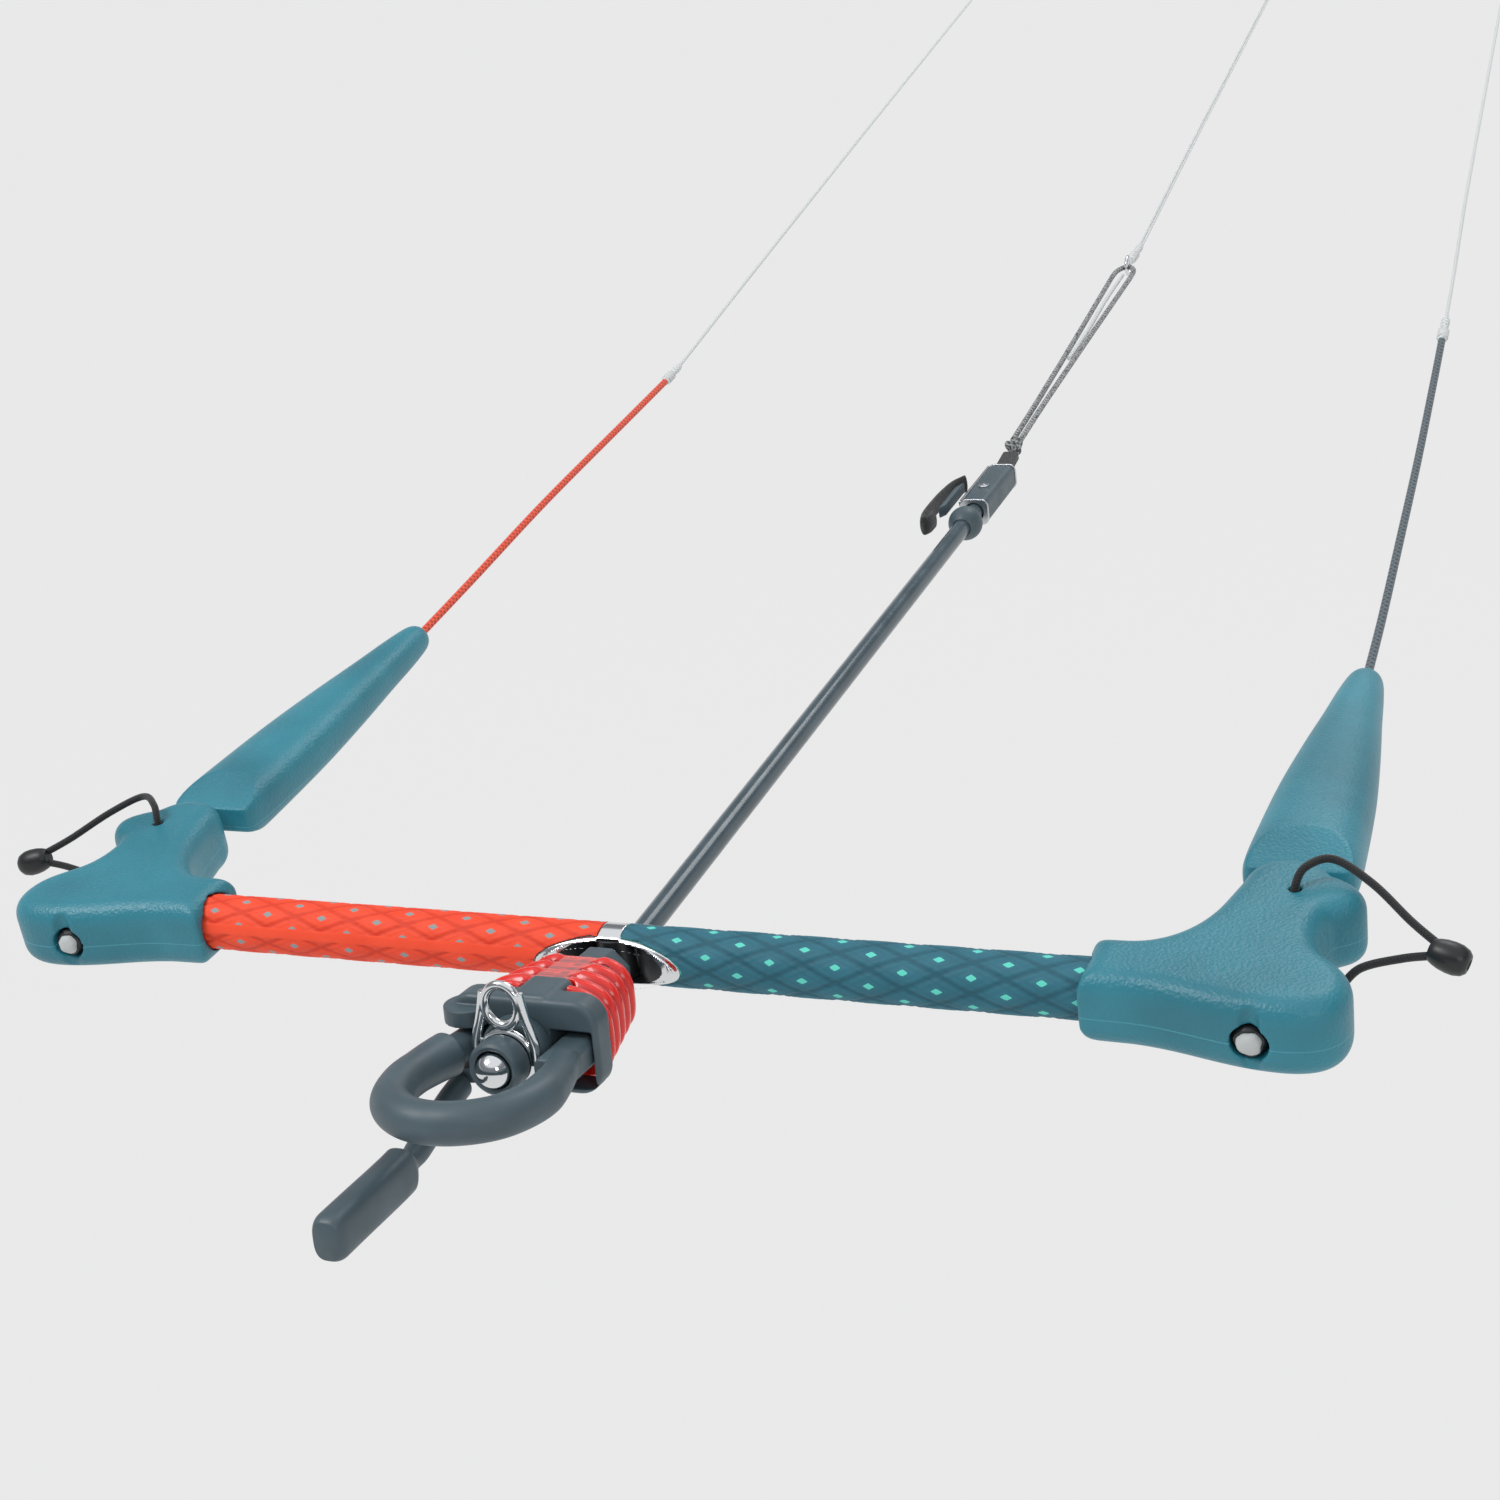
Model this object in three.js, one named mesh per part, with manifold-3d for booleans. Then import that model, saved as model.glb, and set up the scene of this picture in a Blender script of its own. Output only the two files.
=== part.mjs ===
// Kite control bar: steering bar, depower line with cleat and trim loop, quick release
// with chicken loop, float leaders and the first stretch of the flying lines.
// Millimetres. +X along the bar to the teal grip, +Y along the depower tube to the kite,
// +Z out of the bar's plane, origin at the middle of the bar.
import * as THREE from "three";
import { mergeVertices } from "three/addons/utils/BufferGeometryUtils.js";
import Module from "manifold-3d";

const wasm = await Module();
wasm.setup();

// ---- driving dimensions ----
const GAP = 0.3; // between pieces that touch
const CUT = 60; // how far a cutter runs past what it cuts
// bar
const TUBE_R = 9;
const TUBE_BORE_R = 7.4;
const GRIP_R = 11.3;
const GRIP_END = 187;
const TUBE_END = 224;
const MOUTH_X = 30; // half width of the centre mouth
const MOUTH_Z = 9.9;
const BRIDGE_X = 5; // half width of the metal bridge above and below the mouth
const FUNNEL_X = 27;
const FUNNEL_Z = 8.8;
const WAIST_X = 8.1; // half width of the funnel where the bush sits
const BUSH_R = 7.6;
const BUSH_H = 8.6;
// foam ends
const LINE_X = 237; // plane of each steering leader
const SOCKET_X = 178;
const FOAM_HALF = 14.5;
const DOME_Y = 62; // centre of the round neck under each float
const DOME_R = 16.5;
const LEADER_R = 2;
const LEADER_BORE_R = 2.9;
const KNOT_Z = -1.5;
const BUNGEE_R = 1.8;
// floats
const FLOAT_BASE = 82;
const FLOAT_TIP = 276;
const FLOAT_TILT = 0.03; // the left float points a little up, the right one a little down
// depower line
const TRUNK_Z = -4;
const DEPOWER_R = 5;
const STOPPER_Y = 467;
const STOPPER_R = 9.4;
const CLEAT_BACK = 484;
const CLEAT_FRONT = 545;
const CLEAT_W = 15.6;
const CLEAT_H = 14.4;
const PLATE_X = -7.6; // middle of the cleat's steel side plate
// quick release, in its own tilted frame: -Y towards the rider
const RELEASE_TILT = THREE.MathUtils.degToRad(9.5);
const SLEEVE_BACK = -28;
const SLEEVE_FRONT = -66;
const BODY_BACK = -36.6;
const BODY_FRONT = -78;
const LOOP_R = 7.2;
const LEG_R = 5.6; // the loop where its ends enter the body
const PIVOT = [-19.5, -75, 0];
const SLOT_X = 18.6;
const TONGUE_X = 19; // middle of the tongue, a little outside the slot's
const TONGUE_W = 12.6;
const PIVOT_R = 2.1;
const LATCH_Y = -73;
const LATCH_Z = 5.2;
const WIRE_R = 1.7;
// lines
const LINE_R = 1;
const FRONT_R = 1.5;

const root = new THREE.Group();
root.name = "control_bar";

// ---- materials ----
const look = (color, roughness = 0.6, metalness = 0) => ({ color, roughness, metalness });
const TEAL_FOAM = look(0x3f8494, 0.55);
const TEAL_GRIP = look(0x2f6f80, 0.6);
const RED_GRIP = look(0xfb5a36, 0.6);
const RED_SLEEVE = look(0xe02b28, 0.25);
const SLATE = look(0x56666d, 0.5);
const DARK = look(0x1c1e20, 0.7);
const CHROME = look(0xd8dadc, 0.12, 1);
const ALLOY = look(0x8d9296, 0.35, 1);
const ROPE_GREY = look(0x77797a, 0.9);
const ROPE_WHITE = look(0xe8eaea, 0.8);
const ROPE_RED = look(0xf2552f, 0.8);
const ROPE_SLATE = look(0x4e5a61, 0.8);

// ---- geometry helpers ----
const vec = (p) => new THREE.Vector3(...p);

function solid(geometry) {
  const bare = geometry.clone();
  bare.deleteAttribute("normal");
  bare.deleteAttribute("uv");
  const merged = mergeVertices(bare, 1e-3);
  const mesh = { numProp: 3, vertProperties: merged.attributes.position.array };
  mesh.triVerts = new Uint32Array(merged.index.array);
  return new wasm.Manifold(new wasm.Mesh(mesh));
}

function geometryOf(body) {
  const mesh = body.getMesh();
  const geometry = new THREE.BufferGeometry();
  const points = new THREE.BufferAttribute(new Float32Array(mesh.vertProperties), 3);
  geometry.setAttribute("position", points);
  geometry.setIndex(new THREE.BufferAttribute(new Uint32Array(mesh.triVerts), 1));
  return geometry;
}

const union = (...parts) => parts.reduce((a, b) => a.add(b));
const cut = (body, ...tools) => tools.reduce((a, b) => a.subtract(b), body);

function put(name, body, finish, parent = root) {
  const geometry = body.isBufferGeometry ? body : geometryOf(body);
  geometry.computeVertexNormals();
  const mesh = new THREE.Mesh(geometry, new THREE.MeshStandardMaterial(finish));
  mesh.name = name;
  parent.add(mesh);
  return mesh;
}

// A cylinder from point a to point b.
function rod(a, b, radius, sides = 24, radiusEnd = radius) {
  const [from, to] = [vec(a), vec(b)];
  const way = to.clone().sub(from);
  const geometry = new THREE.CylinderGeometry(radiusEnd, radius, way.length(), sides);
  geometry.translate(0, way.length() / 2, 0);
  const turn = new THREE.Quaternion();
  turn.setFromUnitVectors(new THREE.Vector3(0, 1, 0), way.normalize());
  geometry.applyQuaternion(turn);
  return geometry.translate(...a);
}

const box = (x, y, z, w, d, h) => new THREE.BoxGeometry(w, d, h).translate(x, y, z);

// A closed profile of [radius, height] points turned about the Y axis.
const turned = (profile, sides = 32) =>
  new THREE.LatheGeometry(profile.map(([r, y]) => new THREE.Vector2(r, y)), sides);

// An outline in X and Y, given as a THREE.Shape, with rounded edges, centred on Z = 0.
function plate(shape, half, round, steps = 2, curve = 4) {
  const geometry = new THREE.ExtrudeGeometry(shape, {
    depth: 2 * (half - round),
    bevelEnabled: round > 0,
    bevelThickness: round,
    bevelSize: round,
    bevelOffset: -round,
    bevelSegments: steps,
    curveSegments: curve,
  });
  return geometry.translate(0, 0, round - half);
}

function roundedBox(width, height, corner) {
  const [x, y] = [width / 2, height / 2];
  const shape = new THREE.Shape();
  shape.moveTo(corner - x, -y);
  shape.lineTo(x - corner, -y);
  shape.absarc(x - corner, corner - y, corner, -Math.PI / 2, 0);
  shape.absarc(x - corner, y - corner, corner, 0, Math.PI / 2);
  shape.absarc(corner - x, y - corner, corner, Math.PI / 2, Math.PI);
  shape.absarc(corner - x, corner - y, corner, Math.PI, 1.5 * Math.PI);
  return shape;
}

// A round cord along a smooth curve through points.
function tube(points, radius, steps, sides = 8, tension = 0.5) {
  const path = new THREE.CatmullRomCurve3(points.map(vec), false, "catmullrom", tension);
  const section = new THREE.Shape();
  section.absarc(0, 0, radius, 0, 2 * Math.PI);
  return new THREE.ExtrudeGeometry(section, {
    steps,
    extrudePath: path,
    bevelEnabled: false,
    curveSegments: sides / 2,
  });
}

// Rounded sections stacked along Y: each is {y, a, b, x, z, square}, closed at both ends.
function loft(sections, sides = 32, start = 0) {
  const points = [];
  const faces = [];
  for (const s of sections) {
    for (let i = 0; i < sides; i++) {
      const turn = start + (2 * Math.PI * i) / sides;
      const [c, n] = [Math.cos(turn), Math.sin(turn)];
      const power = 2 / (s.square ?? 2);
      const x = (s.x ?? 0) + s.a * Math.sign(c) * Math.abs(c) ** power;
      const z = (s.z ?? 0) + s.b * Math.sign(n) * Math.abs(n) ** power;
      points.push(x, s.y, z);
    }
  }
  const last = sections.length - 1;
  for (let k = 0; k < last; k++) {
    for (let i = 0; i < sides; i++) {
      const j = (i + 1) % sides;
      const [a, b] = [k * sides + i, k * sides + j];
      faces.push(a, a + sides, b, b, a + sides, b + sides);
    }
  }
  const base = points.length / 3;
  for (const k of [0, last]) {
    const s = sections[k];
    points.push(s.x ?? 0, s.y, s.z ?? 0);
    const centre = base + (k ? 1 : 0);
    for (let i = 0; i < sides; i++) {
      const [a, b] = [k * sides + i, k * sides + ((i + 1) % sides)];
      faces.push(...(k ? [a, centre, b] : [b, centre, a]));
    }
  }
  const geometry = new THREE.BufferGeometry();
  geometry.setAttribute("position", new THREE.Float32BufferAttribute(points, 3));
  geometry.setIndex(faces);
  return geometry;
}

// ---- the bar ----
const alongX = (a, b, radius, sides = 24) => solid(rod([a, 0, 0], [b, 0, 0], radius, sides));

// The eye-shaped space through the bar, as seen along Y.
function eye(halfX, halfZ, sides = 22) {
  const shape = new THREE.Shape();
  shape.absellipse(0, 0, halfX, halfZ, 0, 2 * Math.PI);
  const geometry = new THREE.ExtrudeGeometry(shape, {
    depth: 2 * CUT,
    bevelEnabled: false,
    curveSegments: sides / 2,
  });
  return solid(geometry.translate(0, 0, -CUT).rotateX(Math.PI / 2));
}

// An hourglass in X and Y: as wide as the bush at its waist, flared to the mouths.
function hourglass() {
  const shape = new THREE.Shape();
  const flare = FUNNEL_X + 2;
  shape.moveTo(-flare, -12);
  shape.quadraticCurveTo(-WAIST_X - 2, -9, -WAIST_X, 0);
  shape.quadraticCurveTo(-WAIST_X - 2, 9, -flare, 12);
  shape.lineTo(flare, 12);
  shape.quadraticCurveTo(WAIST_X + 2, 9, WAIST_X, 0);
  shape.quadraticCurveTo(WAIST_X + 2, -9, flare, -12);
  return solid(plate(shape, CUT, 0, 1, 4));
}

function centreInsert() {
  const core = alongX(-MOUTH_X - 0.7, MOUTH_X + 0.7, TUBE_R);
  const skin = alongX(-MOUTH_X, MOUTH_X, GRIP_R - 0.1);
  const faces = skin.intersect(eye(MOUTH_X - GAP, MOUTH_Z - GAP));
  const bridge = alongX(GAP - BRIDGE_X, BRIDGE_X - GAP, GRIP_R - 0.1);
  const funnel = hourglass().intersect(eye(FUNNEL_X, FUNNEL_Z));
  const pocket = solid(rod([0, 0, -BUSH_H - 0.4], [0, 0, BUSH_H + 0.4], WAIST_X, 32));
  return cut(union(core, faces, bridge), funnel, pocket);
}

function grip(side) {
  const sleeve = cut(
    alongX(side * BRIDGE_X, side * GRIP_END, GRIP_R),
    alongX(-CUT * 5, CUT * 5, TUBE_R + GAP),
  );
  return cut(sleeve, eye(MOUTH_X, MOUTH_Z));
}

const barTube = (side) =>
  cut(
    alongX(side * (MOUTH_X + 1), side * TUBE_END, TUBE_R),
    alongX(-CUT * 5, CUT * 5, TUBE_BORE_R),
  );

// The black bush that the depower tube slides in. The bar steers about it.
function lineBush() {
  const puck = solid(rod([0, 0, -BUSH_H], [0, 0, BUSH_H], BUSH_R, 32));
  const bore = solid(rod([0, -CUT, TRUNK_Z], [0, CUT, TRUNK_Z], DEPOWER_R + 0.35, 24));
  return cut(puck, bore);
}

// ---- foam ends ----
// Outline of the right-hand end: socket, neck with its round dome, winding horn, end lobe.
function endOutline() {
  const shape = new THREE.Shape();
  shape.moveTo(SOCKET_X, 15);
  shape.lineTo(192, 15.5);
  shape.bezierCurveTo(204, 17, 213, 30, 217, 48);
  shape.lineTo(LINE_X - DOME_R, DOME_Y);
  shape.absarc(LINE_X, DOME_Y, DOME_R, Math.PI, 0.12 * Math.PI, true);
  shape.bezierCurveTo(257, 66, 266, 60, 265, 52);
  shape.bezierCurveTo(264, 46, 258, 44, 254.5, 41);
  shape.bezierCurveTo(252, 34, 252, 26, 254, 20);
  shape.bezierCurveTo(256, 12, 268, 8, 268, -7);
  shape.bezierCurveTo(268, -19, 260, -25, 247, -25);
  shape.bezierCurveTo(228, -25, 214, -17, 196, -15.5);
  shape.lineTo(SOCKET_X, -15);
  return shape;
}

function barEnd(side) {
  const blank = solid(plate(endOutline(), FOAM_HALF, 8, 2, 3));
  const leader = rod([LINE_X, -CUT, KNOT_Z], [LINE_X, DOME_Y, 0], LEADER_BORE_R, 16);
  const mouth = rod([LINE_X, DOME_Y - 2, 0], [LINE_X, DOME_Y + 40, 0], LEADER_BORE_R, 16);
  const recess = rod([LINE_X, -CUT, KNOT_Z], [LINE_X, -17, KNOT_Z], 6.6, 24);
  const elastic = rod([LINE_X + 4, 52, -CUT], [LINE_X + 4, 52, CUT], 2.3, 16);
  const end = cut(
    blank,
    alongX(SOCKET_X - 5, GRIP_END + 1, GRIP_R + GAP),
    alongX(GRIP_END, TUBE_END + 1, TUBE_R + GAP),
    solid(leader),
    solid(mouth),
    solid(recess),
    solid(elastic),
  );
  return side > 0 ? end : end.mirror([1, 0, 0]);
}

// The white knot that stops the leader's end in its recess.
function lineKnot(side) {
  const profile = [[0, -25.5], [2.6, -24.8], [4.2, -22.4], [4, -19.2], [2, -17.8], [0, -17.6]];
  return solid(turned(profile, 14).translate(side * LINE_X, 0, KNOT_Z));
}

// ---- floats and leaders ----
function float() {
  const sections = [
    { y: FLOAT_BASE, a: 15.5, b: 8.5, square: 2.3 },
    { y: FLOAT_BASE + 5, a: 20.2, b: 12, square: 2.4 },
    { y: FLOAT_BASE + 11, a: 21.2, b: 13.2, square: 2.4 },
    { y: FLOAT_BASE + 25, a: 21, b: 13.2, square: 2.5 },
    { y: FLOAT_BASE + 70, a: 19.2, b: 12.6, square: 2.5 },
    { y: FLOAT_BASE + 110, a: 16, b: 11.4, square: 2.4 },
    { y: FLOAT_BASE + 145, a: 12.5, b: 9.8, square: 2.3 },
    { y: FLOAT_TIP - 24, a: 10.2, b: 8.8, square: 2.2 },
    { y: FLOAT_TIP - 8, a: 8.2, b: 7.8, square: 2 },
    { y: FLOAT_TIP - 2.5, a: 6.8, b: 6.6, square: 2 },
    { y: FLOAT_TIP, a: 4.4, b: 4.4, square: 2 },
  ];
  const bore = rod([0, 0, 0], [0, CUT * 6, 0], LEADER_BORE_R, 12);
  return cut(solid(loft(sections, 20)), solid(bore));
}

// The leaders and lines run out to the kite, a little up from the bar.
const LEADER_LEFT = [
  [-237, 79, 0.5],
  [-237, 180, 3.5],
  [-237, 268, 6.2],
  [-237, 277, 6.6],
  [-237, 341, 13],
  [-237, 435, 23],
  [-237, 552, 32.5],
  [-237, 614, 37.5],
];
const LINE_LEFT = [
  [-237, 640, 40.5],
  [-237, 662, 44],
  [-237, 769, 62],
  [-237, 1069, 111],
  [-237, 1365, 158],
  [-237, 1396, 163],
];
const LEADER_RIGHT = [
  [237, 79, -0.5],
  [237, 180, -3.5],
  [237, 268, -6.2],
  [237, 277, -6.3],
  [237, 333, -1.5],
  [237, 407, 9],
  [237, 489, 21.5],
  [237, 571, 38],
  [237, 614, 47.5],
];
const LINE_RIGHT = [
  [237, 640, 53],
  [237, 686, 66],
  [237, 758, 90],
  [237, 864, 118],
  [237, 1044, 164],
  [237, 1080, 173],
];
const FRONT_LINE = [
  [0, 935, 33],
  [0, 1120, 61],
  [0, 1330, 91],
  [0, 1504, 116],
  [0, 1540, 121.5],
];

// The leader's own end inside the foam, from its knot to the top of the neck.
const leaderEnd = (side) =>
  rod([side * LINE_X, -17, KNOT_Z], [side * LINE_X, 76, 0.4], LEADER_R, 12);

// A spindle of whipping between the ends a and b of two lines.
function whipping(a, b, radius, waist) {
  const [from, to] = [vec(a), vec(b)];
  const length = from.distanceTo(to) - 2 * GAP;
  const profile = [
    [0, 0],
    [radius * 0.8, 0],
    [radius, length * 0.1],
    [radius * 0.95, length * 0.35],
    [waist, length * 0.55],
    [radius * 0.8, length * 0.75],
    [waist, length],
    [0, length],
  ];
  const geometry = turned(profile, 12);
  const way = to.sub(from).normalize();
  const turn = new THREE.Quaternion();
  turn.setFromUnitVectors(new THREE.Vector3(0, 1, 0), way);
  geometry.applyQuaternion(turn);
  return geometry.translate(...from.addScaledVector(way, GAP).toArray());
}

// The spliced eye that ends a line: a flat ring beyond point at, seen from above.
function endEye(at, radius, long = 34, wide = 9) {
  const r = wide / 2;
  const track = (half) => {
    const path = new THREE.Shape();
    path.absarc(0, r, half, Math.PI, 2 * Math.PI);
    path.absarc(0, long - r, half, 0, Math.PI);
    return path;
  };
  const ring = track(r);
  ring.holes = [track(r - 2 * radius)];
  return plate(ring, radius, radius * 0.4, 1, 3).translate(at[0], at[1] + GAP, at[2]);
}

function leaderSide(side, name, route, line, finish) {
  const tilted = new THREE.Group();
  tilted.position.set(side * LINE_X, DOME_Y, 0);
  tilted.rotation.x = -side * FLOAT_TILT;
  root.add(tilted);
  const body = new THREE.Group();
  body.position.set(0, -DOME_Y, 0);
  tilted.add(body);
  put(`float_${name}`, float(), TEAL_FOAM, body);
  put(`leader_${name}`, tube(route, LEADER_R, 34, 8), finish);
  put(`leader_end_${name}`, leaderEnd(side), finish);
  put(`whipping_${name}`, whipping(route.at(-1), line[0], 3, 1.7), ROPE_WHITE);
  put(`line_${name}`, tube(line, LINE_R, 30, 8), ROPE_WHITE);
  put(`line_eye_${name}`, endEye(line.at(-1), LINE_R), ROPE_WHITE);
}

// The elastic that holds wound lines: out of its hole, through a ball, back round the neck.
const BUNGEE = [
  [LINE_X + 4, 52, 15.6],
  [LINE_X + 7, 56, 21],
  [LINE_X + 16, 61, 22],
  [LINE_X + 30, 54, 17],
  [LINE_X + 44, 42, 10],
  [LINE_X + 53.5, 34.5, 6.2],
];
const BUNGEE_BACK = [
  [LINE_X + 52.6, 31.6, 3.4],
  [LINE_X + 42, 34, 0],
  [LINE_X + 28, 34, -5],
  [LINE_X + 20.5, 31, -12],
  [LINE_X + 12, 36, -18.5],
  [LINE_X + 4, 48, -18.6],
  [LINE_X + 4, 52, -15.6],
];
const BALL_AT = [LINE_X + 57.2, 31.2, 3.6];

function bungee(side, name) {
  const flip = (p) => [side * p[0], p[1], p[2]];
  const made = (points) => tube(points.map(flip), BUNGEE_R, 13, 8);
  put(`bungee_${name}`, made(BUNGEE), DARK);
  put(`bungee_return_${name}`, made(BUNGEE_BACK), DARK);
  const ball = new THREE.SphereGeometry(5.6, 14, 9).translate(...flip(BALL_AT));
  const barrel = [BALL_AT[0] - 6.2, BALL_AT[1] + 1.7, BALL_AT[2] + 1.5];
  const neck = rod(flip(BALL_AT), flip(barrel), 3.6, 14);
  const meet = [BUNGEE.at(-1), BUNGEE_BACK[0]];
  const sockets = meet.map((p, i) => {
    const from = i ? BUNGEE_BACK[1] : BUNGEE.at(-2);
    const way = vec(p).sub(vec(from)).normalize();
    const start = vec(p).addScaledVector(way, -9).toArray();
    const end = vec(p).addScaledVector(way, GAP).toArray();
    return solid(rod(flip(start), flip(end), BUNGEE_R + GAP, 12));
  });
  put(`bungee_ball_${name}`, cut(union(solid(ball), solid(neck)), ...sockets), DARK);
}

// ---- depower line, cleat and trim ----
const trunk = new THREE.Group();
trunk.position.z = TRUNK_Z;
root.add(trunk);

function depowerTube() {
  const outer = solid(rod([0, -8.2, 0], [0, CLEAT_BACK + 18, 0], DEPOWER_R, 20));
  const lane = solid(rod([0, -20, 0], [0, CLEAT_BACK + 6, 0], DEPOWER_R - 1.4, 16));
  return cut(outer, lane);
}

function stopperBall() {
  const ball = new THREE.SphereGeometry(STOPPER_R, 20, 12).translate(0, STOPPER_Y, 0);
  return cut(solid(ball), solid(rod([0, 400, 0], [0, 520, 0], DEPOWER_R + GAP, 20)));
}

// The cleat shell: a rounded box round the line, with a plate folded over its left side.
const CLEAT_MID = (CLEAT_BACK + CLEAT_FRONT) / 2;
const CLEAT_LONG = CLEAT_FRONT - CLEAT_BACK;

function alongY(shape, back, front, round = 0) {
  const half = (front - back) / 2;
  const geometry = plate(shape, half, round, 1, 3).rotateX(Math.PI / 2);
  return geometry.translate(0, (front + back) / 2, 0);
}

function cleatBody() {
  const shell = alongY(roundedBox(CLEAT_W, CLEAT_H, 4.5), CLEAT_BACK + 2, CLEAT_FRONT - 2, 1);
  const lane = rod([0, CLEAT_BACK - 10, 0], [0, CLEAT_FRONT + 10, 0], 3.6, 16);
  const seat = rod([0, CLEAT_BACK - 10, 0], [0, CLEAT_BACK + 18.4, 0], DEPOWER_R + GAP, 20);
  const jawBay = box(-8, CLEAT_MID + 6, 0, 9, 30, 8.6);
  const pin = rod([0, CLEAT_BACK + 23, -CUT], [0, CLEAT_BACK + 23, CUT], 1.9, 16);
  const left = box(PLATE_X + 0.1, CLEAT_MID, 0, 2.2, CLEAT_LONG + 4, CUT);
  return cut(solid(shell), solid(lane), solid(seat), solid(jawBay), solid(pin), solid(left));
}

function cleatPlate() {
  const shape = new THREE.Shape();
  shape.moveTo(-CLEAT_LONG / 2, -6.4);
  shape.lineTo(CLEAT_LONG / 2, -6.4);
  shape.lineTo(CLEAT_LONG / 2, 6.4);
  shape.lineTo(-CLEAT_LONG / 2, 6.4);
  const web = plate(shape, 0.8, 0.3, 1).rotateX(Math.PI / 2).rotateZ(Math.PI / 2);
  const side = solid(web.translate(PLATE_X, CLEAT_MID, 0));
  const flange = (y) => solid(alongY(roundedBox(CLEAT_W + 1, CLEAT_H + 0.6, 4.8), y - 0.7, y + 0.7));
  const hole = solid(rod([0, 400, 0], [0, 700, 0], DEPOWER_R + 0.4, 20));
  const window = solid(box(-8, CLEAT_MID + 6, 0, 9, 28, 8));
  const ends = union(flange(CLEAT_BACK + 0.9), flange(CLEAT_FRONT - 0.9));
  return cut(union(side, ends), hole, window);
}

function rivet(y, length, radius = 1.6) {
  const shank = solid(rod([0, y, -length / 2], [0, y, length / 2], radius, 16));
  const head = (z, out) => solid(rod([0, y, z], [0, y, z + out], 2.9, 16, 2.1));
  return union(shank, head(length / 2 - 0.2, 1.1), head(0.2 - length / 2, -1.1));
}

// The toothed cam that bites the trim line.
function cleatJaw() {
  const shape = new THREE.Shape();
  shape.moveTo(-7.6, 4);
  shape.lineTo(-4, 4);
  for (let tooth = 0; tooth < 5; tooth++) {
    shape.lineTo(-3.8, 5.5 + tooth * 3);
    shape.lineTo(-4.7, 7 + tooth * 3);
  }
  shape.lineTo(-7.6, 20);
  return plate(shape, 3.6, 0, 1).translate(0, CLEAT_MID - 6, 0);
}

// The fabric pull: a folded strap loop that lies beside the cleat and the stopper.
function trimHandle() {
  const outer = new THREE.Shape();
  outer.moveTo(-12.4, 517);
  outer.bezierCurveTo(-17, 515, -21, 500, -21.5, 480);
  outer.bezierCurveTo(-22, 462, -21, 446, -17.5, 444);
  outer.bezierCurveTo(-14, 443, -13, 450, -13.2, 458);
  outer.lineTo(-15.4, 462);
  outer.bezierCurveTo(-15.8, 456, -16.2, 452, -17.2, 453);
  outer.bezierCurveTo(-18.6, 456, -18.8, 470, -18.4, 482);
  outer.bezierCurveTo(-18, 496, -16, 508, -12.4, 513);
  return solid(plate(outer, 5, 0.8, 1, 4).translate(0, 0, 6));
}

function handleTongue() {
  const points = [[-15.2, 500], [-12, 510], [-11.8, 472], [-14.6, 466]];
  const shape = new THREE.Shape(points.map(([x, y]) => new THREE.Vector2(x, y)));
  return plate(shape, 3.2, 0.6, 1).translate(0, 0, 6);
}

function depowerLine() {
  put("depower_tube", depowerTube(), SLATE, trunk);
  put("stopper_ball", stopperBall(), SLATE, trunk);
  put("cleat_body", cleatBody(), SLATE, trunk);
  put("cleat_plate", cleatPlate(), CHROME, trunk);
  put("cleat_rivet", rivet(CLEAT_BACK + 23, CLEAT_H + 0.6), CHROME, trunk);
  put("cleat_jaw", cleatJaw(), ALLOY, trunk);
  put("trim_handle", trimHandle(), DARK, trunk);
  put("handle_tongue", handleTongue(), SLATE, trunk);
  const stub = alongY(roundedBox(9.5, 6, 2.4), 0, 20, 1);
  const tongue = put("webbing_stub", stub, DARK, trunk);
  tongue.position.set(0, CLEAT_FRONT + 0.5, 3);
  tongue.rotation.x = 0.12;
}

// The trim loop: one grey rope from the webbing up round the ring and back.
const TRIM_LOOP = [
  [-2.3, 580, 6],
  [-2.6, 640, 10.5],
  [-4.2, 740, 17.8],
  [-6.2, 840, 25.2],
  [-6.6, 874, 27.8],
  [-4.4, 885, 28.7],
  [0, 889, 29],
  [4.4, 885, 28.7],
  [6.6, 874, 27.8],
  [6.2, 840, 25.2],
  [4.2, 740, 17.8],
  [2.6, 640, 10.5],
  [2.3, 580, 6],
];
const TRIM_SPLICE = [
  [0, 712, 15.8],
  [0.5, 760, 19.2],
  [-0.5, 820, 23.8],
  [0, 872, 27.6],
];

function trim() {
  const knot = new THREE.SphereGeometry(5.2, 14, 10).scale(1, 1.15, 0.9);
  put("trim_knot", knot.translate(0, 572.8, 4.4), ROPE_GREY);
  put("trim_loop", tube(TRIM_LOOP, 1.7, 52, 8), ROPE_GREY);
  put("trim_splice", tube(TRIM_SPLICE, 1.3, 14, 8), ROPE_WHITE);
  const ring = new THREE.TorusGeometry(6, 1.3, 8, 20).rotateY(Math.PI / 2);
  put("trim_ring", ring.translate(0, 890.5, 29.5), CHROME);
  put("front_knot", whipping([0, 899, 30.6], [0, 934.6, 33], 3.2, 1.9), ROPE_WHITE);
  put("front_line", tube(FRONT_LINE, FRONT_R, 30, 8), ROPE_WHITE);
  put("front_line_eye", endEye(FRONT_LINE.at(-1), FRONT_R, 36, 11), ROPE_WHITE);
}

// ---- quick release, built along its own -Y and then tilted ----
const release = new THREE.Group();
release.position.z = TRUNK_Z;
release.rotation.x = -RELEASE_TILT;
root.add(release);

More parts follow.
